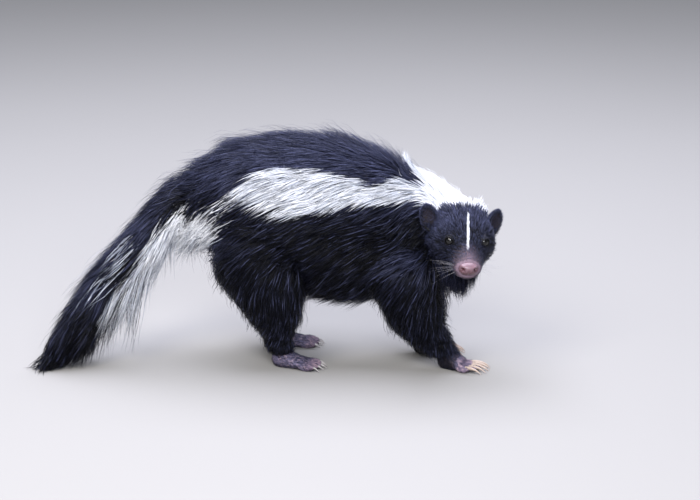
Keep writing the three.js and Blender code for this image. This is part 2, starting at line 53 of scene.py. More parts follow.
randomDraw = np.random.default_rng(20)

# The body is drawn in millimetres in its own frame. The near hind paw says where that frame lies.
pawCorner = (-70.681, -48.803)
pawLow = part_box("paw_hind_right")[0]
shift = np.array([pawLow.x / mm - pawCorner[0], pawLow.y / mm - pawCorner[1], 0.0])

sidesOfBody = {"right": -1, "left": 1}


def unit(vectors):
    return vectors / np.maximum(np.linalg.norm(vectors, axis=-1, keepdims=True), 1e-9)


def blend(first, second, share):
    return first * (1 - share) + second * share


def smoothStep(low, high, value):
    share = np.clip((value - low) / (high - low), 0, 1)
    return share * share * (3 - 2 * share)


def toWorld(places):
    return (places + shift) * mm


def roundAngles(sides):
    return np.linspace(0, 2 * math.pi, sides, endpoint=False)


def everyPair(first, second):
    return (grid.ravel() for grid in np.meshgrid(first, second, indexing="ij"))


# Smooth curve through the points, the same kind that the solids are drawn on
def curveAt(points, share):
    points = np.asarray(points, float)
    padded = np.vstack([2 * points[0] - points[1], points, 2 * points[-1] - points[-2]])
    place = np.clip(share, 0, 1) * (len(points) - 1)
    index = np.minimum(place.astype(int), len(points) - 2)
    weight = (place - index)[:, None]
    p0, p1, p2, p3 = (padded[index + step] for step in range(4))
    gaps = ((p0, p1), (p1, p2), (p2, p3))
    d0, d1, d2 = (np.maximum(np.sqrt(np.linalg.norm(b - a, axis=1)), 1e-2)[:, None] for a, b in gaps)
    start = ((p1 - p0) / d0 - (p2 - p0) / (d0 + d1) + (p2 - p1) / d1) * d1
    end = ((p2 - p1) / d1 - (p3 - p1) / (d1 + d2) + (p3 - p2) / d2) * d1
    return (
        p1
        + start * weight
        + (3 * (p2 - p1) - 2 * start - end) * weight**2
        + (2 * (p1 - p2) + start + end) * weight**3
    )


def tangentAt(points, share):
    step = 1e-3
    return unit(curveAt(points, np.minimum(share + step, 1)) - curveAt(points, np.maximum(share - step, 0)))


# Stations along each form: its centre, then half sizes to the side, over and under, in millimetres
forms = {
    "trunk": {
        "stations": [
            ((-138, 0, 152), 23, 29, 29),  # rump
            ((-110, 0, 149), 42, 49, 46),  # croup
            ((-79, 0, 144), 52, 62, 59),  # hips
            ((-45, 0, 138), 53, 70, 67),  # loin
            ((-10, 0, 134), 50, 70, 69),  # ribs
            ((22, 0, 130), 45, 63, 66),  # chest
            ((50, 0, 125), 38, 55, 58),  # shoulders
            ((86, -4, 115), 30, 40, 42),  # breast
        ],
        "caps": (0.1, 0.1),
        "inset": 4.0,
        "mesh": (64, 80),
    },
    "neck": {
        "stations": [
            ((46, 0, 133), 37, 50, 46),  # withers
            ((72, -1, 138), 35, 37, 48),  # root
            ((90, -9, 139), 33, 23, 47),  # bend
            ((101, -24, 138), 31, 13, 42),  # nape
            ((105, -42, 135), 27, 11, 32),  # occiput
        ],
        "caps": (0.12, 0.12),
        "inset": (3, 3.5, 4, 4, 4),
        "mesh": (56, 48),
    },
    "tail": {
        "stations": [
            ((-112, 0, 160), 22, 24, 24),  # root
            ((-134, -1, 159), 19, 20, 20),  # dock
            ((-160, -7, 145), 16, 14, 17),  # upper
            ((-188, -18, 117), 15, 12, 17),  # middle
            ((-214, -31, 86), 14, 12, 16),  # lower
            ((-237, -45, 54), 13, 12, 14),  # brush
            ((-257, -57, 26), 10, 10, 11),  # end
            ((-271, -64, 7), 6, 7, 8),  # tip
        ],
        "caps": (0.08, 0.1),
        "inset": (5, 6, 6, 5.5, 5, 4.5, 3.5, 2.5),
        "mesh": (40, 90),
    },
    "hind": {
        "stations": [
            ((-86, -26, 136), 29, 38, 32),  # hip
            ((-80, -34, 104), 24, 37, 35),  # thigh
            ((-68, -39, 74), 18, 28, 28),  # knee
            ((-63, -36, 48), 13, 20, 20),  # shin
            ((-62, -34, 28), 10.5, 12, 12.5),  # hock
            ((-57, -33, 8), 9, 12, 8),  # heel
        ],
        "reference": ahead,
        "caps": (0.12, 0.12),
        "inset": 3.0,
        "mesh": (40, 64),
    },
    "fore": {
        "stations": [
            ((48, -24, 112), 19, 31, 28),  # shoulder
            ((55, -28, 88), 17, 31, 27),  # arm
            ((62, -28, 64), 14, 27, 25),  # elbow
            ((69, -26, 43), 11.5, 19, 19),  # forearm
            ((83, -24, 25), 10, 15, 13),  # wrist
            ((92, -22, 9), 9.5, 13, 9),  # hand
        ],
        "reference": ahead,
        "caps": (0.12, 0.12),
        "inset": 3.0,
        "mesh": (40, 64),
    },
}

# Each leg: the form that it follows, its side, how far its foot is shifted along the body in millimetres,
# and its foot's turn in degrees
limbs = {
    "hind_right": {"form": "hind", "side": -1, "shift": 0, "turn": -8},
    "hind_left": {"form": "hind", "side": 1, "shift": -10, "turn": 6},
    "fore_right": {"form": "fore", "side": -1, "shift": 0, "turn": -14},
    "fore_left": {"form": "fore", "side": 1, "shift": -26, "turn": 8},
}


def makeForm(settings, side=-1, footShift=0.0):
    stations = settings["stations"]
    last = len(stations) - 1
    centres = [
        (at[0] + footShift * index / last, -side * at[1], at[2]) for index, (at, *_) in enumerate(stations)
    ]
    return {
        "centres": np.array(centres, float),
        "sizes": np.array([sizes for _, *sizes in stations], float),
        "reference": settings.get("reference", up),
        "caps": settings["caps"],
        "inset": np.broadcast_to(settings["inset"], len(stations)).astype(float),
        "mesh": settings["mesh"],
    }


# How far the hide lies inside the solid, which stands for the coat as well
def insetAt(form, share):
    return np.interp(share, np.linspace(0, 1, len(form["inset"])), form["inset"])


# The axes of a form at shares along its spine: along it, to its side and upwards
def axesAt(form, share):
    along = tangentAt(form["centres"], share)
    reference = form["reference"]
    over = unit(reference - along * (along @ reference)[:, None])
    return along, np.cross(along, over), over


# Points on a form's surface, by the share along its spine and the angle round it
def surfaceAt(form, share, angle, grow):
    along, side, over = axesAt(form, share)
    size = curveAt(form["sizes"], share)
    intoStart = np.maximum(0, 1 - share / form["caps"][0])
    intoEnd = np.maximum(0, 1 - (1 - share) / form["caps"][1])
    rounded = np.sqrt(np.maximum(0, 1 - intoStart**2 - intoEnd**2))
    towards = np.where(np.sin(angle) > 0, size[:, 1], size[:, 2])
    return (
        curveAt(form["centres"], share)
        + along * (grow * (intoEnd - intoStart))[:, None]
        + side * ((size[:, 0] + grow) * rounded * np.cos(angle))[:, None]
        + over * ((towards + grow) * rounded * np.sin(angle))[:, None]
    )


# Where places lie on a form: share along the spine, and the sine of the height round it, 1 on top
def placeOn(form, at):
    shares = np.linspace(0, 1, 160)
    spine = curveAt(form["centres"], shares)
    parts = [part for part in np.array_split(at, 40) if len(part)]  # in parts, which needs less memory
    nearest = np.concatenate([((part[:, None] - spine) ** 2).sum(2).argmin(1) for part in parts])
    share = shares[nearest]
    _, side, over = axesAt(form, share)
    size = curveAt(form["sizes"], share)
    away = at - spine[nearest]
    sideways = (away * side).sum(1) / size[:, 0]
    upwards = (away * over).sum(1)
    upwards = upwards / np.where(upwards > 0, size[:, 1], size[:, 2])
    return share, upwards / np.maximum(np.hypot(sideways, upwards), 1e-6)


# Shares of the rings, closer together in the rounded ends
def ringShares(form, rings):
    start, end = form["caps"]
    capRings = max(3, rings // 6)
    turn = np.linspace(0, math.pi / 2, capRings + 1)
    first = start * (1 - np.cos(turn))
    last = 1 - end * (1 - np.cos(turn[::-1]))
    between = np.linspace(start, 1 - end, rings - 2 * capRings + 1)[1:-1]
    return np.concatenate([first, between, last])


def addObject(name, data):
    made = bpy.data.objects.new(name, data)
    bpy.context.scene.collection.objects.link(made)
    return made


def meshObject(name, points, faces):
    mesh = bpy.data.meshes.new(name)
    mesh.from_pydata(np.asarray(points).tolist(), [], [list(map(int, face)) for face in faces])
    mesh.update()
    return addObject(name, mesh)


def tubeFaces(rings, sides):
    faces = []
    for ring in range(rings - 1):
        for column in range(sides):
            beside = (column + 1) % sides
            low, high = ring * sides, (ring + 1) * sides
            faces.append((low + column, low + beside, high + beside, high + column))
    return faces


# Faces of a tube closed by one point at each end, where these two points follow those of the rings
def closedFaces(rings, sides):
    faces = tubeFaces(rings, sides)
    count = rings * sides
    for column in range(sides):
        beside = (column + 1) % sides
        faces.append((count, beside, column))
        faces.append((count + 1, count - sides + column, count - sides + beside))
    return faces


def loft(name, form, grow):
    sides, rings = form["mesh"]
    shares = ringShares(form, rings)[1:-1]
    shareGrid, angleGrid = everyPair(shares, roundAngles(sides))
    growGrid = grow(shareGrid) if callable(grow) else np.full(len(shareGrid), grow)
    points = [surfaceAt(form, shareGrid, angleGrid, growGrid)]
    for end, row in ((0.0, 0), (1.0, -1)):
        points.append(surfaceAt(form, np.array([end]), np.array([0.0]), growGrid[[row]]))
    return meshObject(name, np.vstack(points), closedFaces(len(shares), sides))


def ellipsoid(name, centre, radii, turn=None, sides=48, rings=32):
    polar, angle = everyPair(np.linspace(0, math.pi, rings + 1)[1:-1], roundAngles(sides))
    points = np.stack([np.sin(polar) * np.cos(angle), np.sin(polar) * np.sin(angle), np.cos(polar)], axis=1)
    points = np.vstack([points, [[0, 0, 1], [0, 0, -1]]]) * np.array(radii)
    points = points @ np.array((turn or Euler()).to_matrix()).T + np.array(centre)
    faces = closedFaces(rings - 1, sides)
    faces = [face[::-1] if len(face) == 4 else (face[0], face[2], face[1]) for face in faces]
    return meshObject(name, points, faces)


# Rings of points round a path, with half sizes to its side and upwards
def ringsRound(centre, along, wide, high, sides):
    side = unit(np.cross(up, along))
    over = np.cross(along, side)
    angle = roundAngles(sides)
    return (
        centre[:, None, :]
        + side[:, None, :] * (wide[:, :, None] * np.cos(angle)[None, :, None])
        + over[:, None, :] * (high[:, :, None] * np.sin(angle)[None, :, None])
    ).reshape(-1, 3)


# Places and headings on the curve from a to c that bends towards b
def bentPath(a, b, c, s):
    centre = a * (1 - s) ** 2 + b * 2 * s * (1 - s) + c * s * s
    return centre, unit(blend(b - a, c - b, s))


def pointsOf(piece, what="co"):
    points = np.empty(len(piece.data.vertices) * 3)
    piece.data.vertices.foreach_get(what, points)
    return points.reshape(-1, 3)


def setPoints(piece, points):
    piece.data.vertices.foreach_set("co", np.ascontiguousarray(points).ravel())
    piece.data.update()


def smooth(piece):
    piece.data.polygons.foreach_set("use_smooth", np.ones(len(piece.data.polygons), bool))
    piece.data.update()


def treeOf(places):
    tree = KDTree(len(places))
    for row, at in enumerate(places):
        tree.insert(at, row)
    tree.balance()
    return tree


def applyModifiers(piece):
    graph = bpy.context.evaluated_depsgraph_get()
    mesh = bpy.data.meshes.new_from_object(piece.evaluated_get(graph))
    piece.modifiers.clear()
    old = piece.data
    piece.data = mesh
    bpy.data.meshes.remove(old)
    mesh.name = piece.name
    return piece


def join(name, pieces):
    bpy.ops.object.select_all(action="DESELECT")
    for piece in pieces:
        piece.select_set(True)
    bpy.context.view_layer.objects.active = pieces[0]
    bpy.ops.object.join()
    pieces[0].name = name
    return pieces[0]


def combine(piece, other, operation):
    modifier = piece.modifiers.new("combine", "BOOLEAN")
    modifier.operation = operation
    modifier.solver = "EXACT"
    modifier.object = other
    applyModifiers(piece)
    bpy.data.objects.remove(other)
    return piece


def remesh(piece, size, smoothing, factor=0.5):
    modifier = piece.modifiers.new("remesh", "REMESH")
    modifier.mode = "VOXEL"
    modifier.voxel_size = size
    modifier.use_smooth_shade = True
    relax = piece.modifiers.new("relax", "SMOOTH")
    relax.factor = factor
    relax.iterations = smoothing
    return applyModifiers(piece)


# Head, in its own frame: x towards the nose, y to its left, z up, millimetres, origin midway between the ears
headPlace = {"at": (104.4, -43.0, 131.5), "yaw": -76.5, "pitch": 12.5, "roll": -4.0}
headForm = {
    "stations": [
        ((-24, 0, 2), 24, 23, 20),  # occiput
        ((-12, 0, 1), 28.5, 28, 25),  # braincase
        ((0, 0, 0), 30.5, 29, 27),  # ears
        ((12, 0, -1), 29.5, 26.5, 26),  # cheeks
        ((22, 0, -3), 25, 22, 22),  # brow
        ((30, 0, -5.5), 19.5, 18, 18),  # eyes
        ((38, 0, -8), 15, 12, 13.5),  # muzzle
        ((46, 0, -10), 11.5, 8, 10.5),  # lips
        ((51, 0, -11), 9, 5.5, 8),  # front
    ],
    "caps": (0.16, 0.12),
    "inset": 0.0,
    "mesh": (96, 110),
}
furOnFace = {"back": 3.2, "muzzle": 0.35}  # how far the skin lies inside the head's solid
eyeBall = {"radius": 4.1, "lid": 1.0, "opening": (3.8, 3.45), "outward": 0.45, "upward": 0.15}
earCup = {
    "at": (-4, 29, 13.5), "lower": {-1: 0.0, 1: 3.2}, "radii": (4.4, 8.2, 13.0), "wall": 1.5,
    "turn": (-0.42, -0.12, 0.5),
}
nosePad = {"centre": (47.2, 0, -8.8), "radii": (6.2, 9.2, 6.2)}
mouth = {
    "front": (60, -18), "bend": (42, -20), "corner": (26, -14),
    "groove": 1.5, "grooveWidth": 0.55, "lip": 0.9, "lipWidth": 1.1, "lipAt": 1.5,
}
faceRelief = [  # place in the head's frame, reach and height of each swelling or hollow
    ((24.0, 13.0, 12.0), 6.0, 0.9),  # brow ridge
    ((31.5, 10.0, 4.5), 4.0, -1.3),  # inner corner of the eye
    ((38.0, 14.0, -2.0), 7.0, -1.1),  # side of the muzzle
    ((43.0, 9.5, -12.0), 4.5, 1.0),  # whisker pad
    ((14.0, 27.0, -8.0), 9.0, 1.2),  # cheek
    ((22.0, 0.0, 19.0), 7.0, -0.6),  # dip between the brows
]
headTurn = Euler(
    (math.radians(headPlace["roll"]), math.radians(headPlace["pitch"]), math.radians(headPlace["yaw"])), "XYZ"
).to_matrix()
headAxes = np.array(headTurn)
headAt = np.array(headPlace["at"])


def fromHead(points):
    return points @ headAxes.T + headAt


def toHead(points):
    return (points - headAt) @ headAxes


def placed(piece, matrixRows, at):
    setPoints(piece, pointsOf(piece) @ matrixRows.T + at)
    return piece


def eyeCentre(side):
    low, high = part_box("eye_right" if side < 0 else "eye_left")
    return toHead((np.array(low) + np.array(high)) / 2 / mm - shift)


def gazeAxis(side):
    outward, upward = eyeBall["outward"], eyeBall["upward"]
    return unit(np.array([math.cos(outward), side * math.sin(outward), upward]))


def frameAlong(axis):
    across = unit(np.cross(up, axis))
    return np.stack([axis, across, np.cross(axis, across)], axis=1)


def earCentre(side):
    x, y, z = earCup["at"]
    return np.array([x, side * y, z - earCup["lower"][side]])


def earAxes(side):
    roll, pitch, yaw = earCup["turn"]
    return Euler((side * roll, pitch, side * yaw), "XYZ")


def fromEyes(places):
    return np.minimum.reduce([np.linalg.norm(places - eyeCentre(side), axis=1) for side in (-1, 1)])


def fromPad(places):
    return np.linalg.norm((places - nosePad["centre"]) / nosePad["radii"], axis=1)


def mouthHeight(x):
    # the mouth's line seen from the side: a curve from the corner under the eye to the front of the muzzle
    share = np.linspace(0, 1, 60)
    ends = zip(mouth["front"], mouth["bend"], mouth["corner"])
    line = np.array([(1 - share) ** 2 * a + 2 * share * (1 - share) * b + share**2 * c for a, b, c in ends])
    order = np.argsort(line[0])
    return np.interp(x, line[0][order], line[1][order])


def buildHead():
    form = makeForm(headForm)

    def inset(share):
        front, back = furOnFace["muzzle"], furOnFace["back"]
        return -(front + (back - front) * smoothStep(0.8, 0.35, share))

    head = loft("head_skin", form, inset)
    for side in (-1, 1):
        centre = eyeCentre(side)
        lidRadius = eyeBall["radius"] + eyeBall["lid"]
        head = combine(head, ellipsoid("lids", centre, (lidRadius,) * 3), "UNION")
        x, y, z = earCentre(side)
        radii = earCup["radii"]
        turn = earAxes(side)
        ear = ellipsoid("ear", (x, y, z), radii, turn)
        cup = np.array(turn.to_matrix()) @ np.array([radii[0] * 0.75, 0, 0.8])
        hollow = [radii[0] * 0.95, radii[1] - earCup["wall"], radii[2] - earCup["wall"]]
        ear = combine(ear, ellipsoid("hollow", cup + (x, y, z), hollow, turn), "DIFFERENCE")
        head = combine(head, ear, "UNION")
    for side in (-1, 1):
        centre = eyeCentre(side)
        head = combine(head, ellipsoid("socket", centre, (eyeBall["radius"] + 0.1,) * 3), "DIFFERENCE")
        wide, high = eyeBall["opening"]
        axes = frameAlong(gazeAxis(side))
        slot = ellipsoid("opening", (0, 0, 0), (9, wide, high))
        placed(slot, axes, centre + axes[:, 0] * 6)
        head = combine(head, slot, "DIFFERENCE")
    padHollow = ellipsoid("socket", nosePad["centre"], np.array(nosePad["radii"]) - 0.2)
    head = combine(head, padHollow, "DIFFERENCE")
    head = remesh(head, 0.55, 2)
    points = pointsOf(head)
    normals = pointsOf(head, "normal")
    move = np.zeros(len(points))
    for (x, y, z), reach, height in faceRelief:
        for side in ((-1, 1) if y else (1,)):
            away = np.linalg.norm(points - (x, side * y, z), axis=1)
            move += height * np.exp(-(away / reach) ** 2)
    # the mouth's line is pressed in between two soft lips
    below = points[:, 2] - mouthHeight(points[:, 0])
    alongMouth = smoothStep(24, 29, points[:, 0]) * (np.abs(points[:, 1]) < 30)
    move += alongMouth * (
        mouth["lip"] * np.exp(-((np.abs(below) - mouth["lipAt"]) / mouth["lipWidth"]) ** 2)
        - mouth["groove"] * np.exp(-(below / mouth["grooveWidth"]) ** 2)
    )
    clearOfEyes = np.ones(len(points))
    for side in (-1, 1):
        away = np.linalg.norm(points - eyeCentre(side), axis=1)
        clearOfEyes *= smoothStep(eyeBall["radius"] + 0.6, eyeBall["radius"] + 2.2, away)
    setPoints(head, points + normals * (move * clearOfEyes)[:, None])
    return placed(head, headAxes, headAt)


# Feet, in their own frame: x along the sole, z up from the floor, the ankle over x = 0
feet = {
    "hind": {"reach": 44, "width": 23, "ankle": 19, "clawLength": 8.6, "clawThickness": 1.3, "clawArch": 0.1,
             "instep": 1.0, "sheath": 0.0},
    "fore": {"reach": 34, "width": 23, "ankle": 17, "clawLength": 16, "clawThickness": 1.75, "clawArch": 0.19,
             "instep": 1.5, "sheath": 5.0},
}
toe = {"count": 5, "halfWidth": 2.5, "halfHeight": 3.6, "height": 3.6}


def footForm(foot):
    half = foot["width"] / 2
    reach = foot["reach"]
    return makeForm({
        "stations": [
            ((-reach * 0.28, 0, 7), half * 0.6, 8, 8),  # heel
            ((0, 0, 8), half * 0.78, 9 * foot["instep"], 9),  # arch
            ((reach * 0.3, 0, 6), half * 0.98, 5 * foot["instep"], 7),  # ball
            ((reach * 0.5, 0, 5), half, 4 * foot["instep"] ** 0.5, 6),  # knuckles
        ],
        "caps": (0.2, 0.15),
        "inset": 0.0,
        "mesh": (40, 30),
    })


def toeRow(foot):
    row = []
    for index in range(toe["count"]):
        place = index - (toe["count"] - 1) / 2
        row.append({
            "at": np.array([
                foot["reach"] * (0.52 - 0.022 * place * place), place * foot["width"] * 0.2, toe["height"],
            ]),
            "length": foot["reach"] * 0.18,
            "turn": place * 0.09,
            "sheath": foot["sheath"] * (1 - 0.25 * place * place),
        })
    return row


def headingOf(turn):
    return np.array([math.cos(turn), math.sin(turn), 0])


def footPlace(limb, form):
    turn = np.array(Matrix.Rotation(math.radians(limb["turn"]), 3, "Z"))
    ankle = form["centres"][-1]
    return turn, np.array([ankle[0], ankle[1], 0.0])


def buildFoot(name, limb, form):
    foot = feet[limb["form"]]
    pieces = [loft("sole", footForm(foot), -0.5)]
    for each in toeRow(foot):
        length, sheath = each["length"], each["sheath"]
        turn = Euler((0, 0, each["turn"]))
        heading = headingOf(each["turn"])
        centre = each["at"] + heading * length * 0.4
        pieces.append(ellipsoid("toe", centre, (length, toe["halfWidth"], toe["halfHeight"]), turn, 20, 14))
        knuckle = each["at"] - heading * 2.5 + (0, 0, 1.2)
        pieces.append(ellipsoid("knuckle", knuckle, (length * 0.7, 2.2, 2.8), turn, 20, 14))
        tip = each["at"] + heading * (length * 1.15 + 0.5 * sheath) + (0, 0, 0.5)
        pieces.append(ellipsoid("sheath", tip, (3.2 + 0.5 * sheath, 2.0, 2.3), turn, 16, 12))
    made = join(name, pieces)
    turn, at = footPlace(limb, form)
    placed(made, turn, at)
    lower = loft("shank", form, -1.2)
    points = pointsOf(lower)
    points[:, 2] = np.minimum(points[:, 2], foot["ankle"] + 6)
    setPoints(lower, points)
    made = join(name, [made, lower])
    made = remesh(made, 0.7, 3)
    points = pointsOf(made)
    points[:, 2] = np.maximum(points[:, 2], 0.05)
    setPoints(made, points)
    return made


print("skin: forms")
body = {name: makeForm(forms[name]) for name in ("trunk", "neck", "tail")}
for name, limb in limbs.items():
    body[name] = makeForm(forms[limb["form"]], limb["side"], limb["shift"])
headShape = makeForm(headForm)

pieces = [loft(name, form, lambda share, form=form: -insetAt(form, share)) for name, form in body.items()]
skin = join("skin", pieces)
skin = remesh(skin, 1.5, 14, 0.6)
print("skin: body", len(skin.data.vertices))
skin = combine(skin, buildHead(), "UNION")
print("skin: head", len(skin.data.vertices))
for name, limb in limbs.items():
    skin = combine(skin, buildFoot(name, limb, body[name]), "UNION")
print("skin: feet", len(skin.data.vertices))


# A union gives its vertices in another order each run, so they are put in the order of their places
def inOrder(piece):
    points = pointsOf(piece)
    ranked = np.lexsort((points[:, 2], points[:, 1], points[:, 0]))
    place = np.empty(len(ranked), int)
    place[ranked] = np.arange(len(ranked))
    faces = []
    for polygon in piece.data.polygons:
        face = place[list(polygon.vertices)].tolist()
        first = face.index(min(face))
        faces.append(face[first:] + face[:first])
    name, old = piece.name, piece.data
    bpy.data.objects.remove(piece)
    bpy.data.meshes.remove(old)
    return meshObject(name, points[ranked], sorted(faces))


skin = inOrder(skin)


# Neighbour averages over the skin, for blending what changes from one form to the next
edges = np.empty(len(skin.data.edges) * 2, int)
skin.data.edges.foreach_get("vertices", edges)
edges = edges.reshape(-1, 2)
neighbours = np.maximum(np.bincount(edges.ravel(), minlength=len(skin.data.vertices)).astype(float), 1)


def averaged(values, rounds, share=1.0):
    for _ in range(rounds):
        total = np.zeros_like(values)
        np.add.at(total, edges[:, 0], values[edges[:, 1]])
        np.add.at(total, edges[:, 1], values[edges[:, 0]])
        values = blend(values.T, total.T / neighbours, share).T
    return values


points = pointsOf(skin)
inHead = toHead(points)
headX, headY, headZ = inHead.T

# Seams where the fine head and feet join the body are relaxed
headDepth = np.linalg.norm((inHead - (-16, 0, 0)) / (26, 30, 28), axis=1)
seam = np.exp(-((headX + 8) / 9) ** 2) * smoothStep(1.5, 1.2, headDepth) * (headZ < 30)
seam = np.maximum(seam, np.exp(-((points[:, 2] - 22) / 4) ** 2))
earZone = np.minimum.reduce([
    np.linalg.norm(inHead - earCentre(side) - (2, 0, 3), axis=1) for side in (-1, 1)
])
seam *= smoothStep(11, 15, earZone)
points = averaged(points, 12, seam * 0.6)
setPoints(skin, points)
bodyX, _, bodyZ = points.T
print("skin: seams relaxed")

# Which form each place on the skin belongs to, how far along it and how high round it
sampleShare, sampleAngle = everyPair(np.linspace(0.01, 0.99, 60), roundAngles(40))
formNames = list(body)
formTree = treeOf(np.vstack([
    surfaceAt(form, sampleShare, sampleAngle, -insetAt(form, sampleShare)) for form in body.values()
]))
nearest = np.array([formTree.find(point)[1] for point in points])
formIndex = nearest // len(sampleShare)
share = sampleShare[nearest % len(sampleShare)]
height = np.sin(sampleAngle[nearest % len(sampleShare)])  # 1 on top of the form, -1 underneath
formOf = {name: formIndex == index for index, name in enumerate(formNames)}
print("skin: read against the forms")

normals = pointsOf(skin, "normal")
furDepth = 3.0  # about how far the face's skin lies inside the head's form
isHead = (headX > -14) & (headDepth < 2.6) & (bodyZ > 75)
headSkinDistance = np.full(len(points), 99.0)
headTree = treeOf(surfaceAt(headShape, sampleShare, sampleAngle, -furDepth))
for row in np.nonzero(isHead)[0]:
    headSkinDistance[row] = headTree.find(inHead[row])[2]
nearEar = earZone < 17
onEar = np.zeros(len(points), bool)
for side in (-1, 1):
    turn = np.array(earAxes(side).to_matrix())
    local = (inHead - earCentre(side)) @ turn
    onEar |= (np.linalg.norm(local / (np.array(earCup["radii"]) + 1.4), axis=1) < 1.1) & (local[:, 2] > -5.5)
isHead = isHead & ((headSkinDistance < 5.5) | nearEar) & (headX > -9 + 0.12 * np.abs(headY))
isHead |= onEar
print("skin: head vertices", int(isHead.sum()))

# Coat settings at each form's stations, in millimetres: hair length, how far the tips stand off the skin,
# width of a tuft and distance between roots; and how steeply the hair falls
legWidth = (0.88, 0.88, 0.8, 0.7, 0.6, 0.5)
legSpacing = (1.42, 1.38, 1.2, 1.05, 0.95, 0.9)
coat = {
    "trunk": {
        "length": (54, 46, 38, 36, 34, 33, 32, 30), "rise": (14, 13, 11.5, 11, 11, 11, 11, 11),
        "width": (0.88,) * 8, "spacing": (1.42,) * 8, "fall": (0.9, 0.9, 0.8, 0.6, 0.45, 0.4, 0.4, 0.6),
    },
    "neck": {
        "length": (30, 26, 19, 12, 10), "rise": (11, 8, 4.6, 1.3, 1.3),
        "width": (0.85,) * 5, "spacing": (1.3,) * 5, "fall": (0.4, 0.35, 0.3, 0.3, 0.3),
    },
    "tail": {
        "length": (46, 50, 54, 56, 54, 46, 35, 25), "rise": (11, 11, 11, 11, 10, 7, 7, 8),
        "width": (0.9,) * 8, "spacing": (1.25,) * 8, "fall": (0.3,) * 8,
    },
    "hind": {
        "length": (38, 34, 26, 17, 11, 7), "rise": (11, 10, 8.5, 6.5, 4, 2.2),
        "width": legWidth, "spacing": legSpacing, "fall": (3,) * 6,
    },
    "fore": {
        "length": (34, 31, 25, 17, 10, 6), "rise": (11, 10, 8.5, 6.5, 4, 2.2),
        "width": legWidth, "spacing": legSpacing, "fall": (3,) * 6,
    },
}
footCoat = {"length": 3.4, "rise": 0.7, "width": 0.42, "spacing": 1.1}
headCoat = {  # by the distance along the head from its back, in millimetres from the ears
    "at": (-14, -4, 6, 16, 26, 34, 42, 48),
    "length": (15, 13, 9, 8, 6.5, 4.5, 2.6, 1.6),
    "rise": (7.0, 6.5, 4.4, 3.4, 2.3, 1.3, 0.65, 0.4),
    "width": (0.85, 0.75, 0.6, 0.55, 0.5, 0.42, 0.34, 0.3),
    "spacing": (1.3, 1.15, 0.95, 0.88, 0.8, 0.74, 0.85, 1.1),
}
earCoat = {"length": 3.4, "rise": 1.2, "width": 0.38, "spacing": 0.62}
ruffCoat = {"length": 36.0, "rise": 8.0, "width": 1.05, "spacing": 0.74}
besideEarCoat = {"length": 6.0, "rise": 2.0, "width": 0.55, "spacing": 0.85}
eyeCoat = {"length": 2.2, "rise": 0.5, "width": 0.36, "spacing": 0.6}
foreFootTint = 0.14  # how much of the hind foot's tint the fore feet have
toeBare = {"hind": 0.25, "fore": 1.0}  # how bare and pink the toes' ends are
toeStart = {"hind": (0.40, 0.66), "fore": (0.20, 0.42)}  # where that begins and is full, by share of the foot

fields = {key: np.zeros(len(points)) for key in ("length", "rise", "width", "spacing", "fall")}
for name, mine in formOf.items():
    settings = coat[limbs[name]["form"] if name in limbs else name]
    for key, field in fields.items():
        values = settings[key]
        field[mine] = np.interp(share[mine], np.linspace(0, 1, len(values)), values)


def blendInto(settings, part):
    for key, value in settings.items():
        fields[key] = blend(fields[key], value, part)


# The lie of the coat: backwards along the body, more steeply down the flanks and legs
lie = np.zeros((len(points), 3))
sideways = np.abs(normals[:, 1])
underneath = np.maximum(0, -normals[:, 2])
fall = fields.pop("fall")
for name, mine in formOf.items():
    along = tangentAt(body[name]["centres"], share[mine])
    if name == "trunk":
        down = -fall[mine] * sideways[mine] - 0.35 * underneath[mine]
        lie[mine] = np.stack([-np.ones(mine.sum()), np.zeros(mine.sum()), down], axis=1)
    elif name == "neck":
        lie[mine] = -along - up * (fall[mine] + 0.5 * sideways[mine] + 0.6 * underneath[mine])[:, None]
    elif name == "tail":
        lie[mine] = along - up * (0.15 + 0.55 * underneath[mine])[:, None]
    else:
        lie[mine] = along * 0.8 - ahead * 0.35 - up * 0.3
        high = smoothStep(0.35, 0.05, share[mine])[:, None]
        lie[mine] = blend(lie[mine], np.array([-1.0, 0, -0.9]), high)
tailUnder = np.where(formOf["tail"], smoothStep(0.0, 0.9, underneath) * smoothStep(0.98, 0.8, share), 0)
fringe = tailUnder * smoothStep(0.30, 0.48, share) * smoothStep(0.84, 0.70, share)
fields["length"] *= 1 + 0.12 * tailUnder + 0.3 * fringe
fields["rise"] *= 1 + 1.1 * tailUnder
rumpEnd = np.where(formOf["trunk"], smoothStep(-100, -124, bodyX) * smoothStep(0.3, -0.2, normals[:, 2]), 0)
tailEnd = np.where(formOf["tail"], smoothStep(0.86, 0.94, share), 0)
fields["rise"] *= 1 + 0.8 * np.where(formOf["neck"], smoothStep(0.2, 0.9, underneath), 0)
belly = np.where(formOf["trunk"], smoothStep(0.5, 0.95, underneath) * smoothStep(-90, -70, bodyX), 0)

onLeg = np.logical_or.reduce([formOf[name] for name in limbs])
blendInto(footCoat, smoothStep(21, 14, bodyZ) * onLeg)
footward = smoothStep(20, 12, bodyZ) * onLeg
toeward = np.zeros(len(points))
onForeLeg = formOf["fore_right"] | formOf["fore_left"]
footTint = np.where(onForeLeg, foreFootTint, 1.0)
fields["spacing"] *= 1 - 0.28 * footward * onForeLeg
for name, limb in limbs.items():
    turn, at = footPlace(limb, body[name])
    mine = formOf[name] & (footward > 0)
    lie[mine] = blend(lie[mine], turn @ np.array([1.0, 0, -0.25]), footward[mine, None])
    reach = feet[limb["form"]]["reach"]
    alongFoot = ((points[mine] - at) @ turn)[:, 0]
    first, full = toeStart[limb["form"]]
    bareness = footward[mine] * smoothStep(reach * first, reach * full, alongFoot)
    toeward[mine] = bareness * toeBare[limb["form"]]
fields["spacing"] *= 1 + 0.9 * toeward
fields["length"] *= 1 - 0.4 * toeward

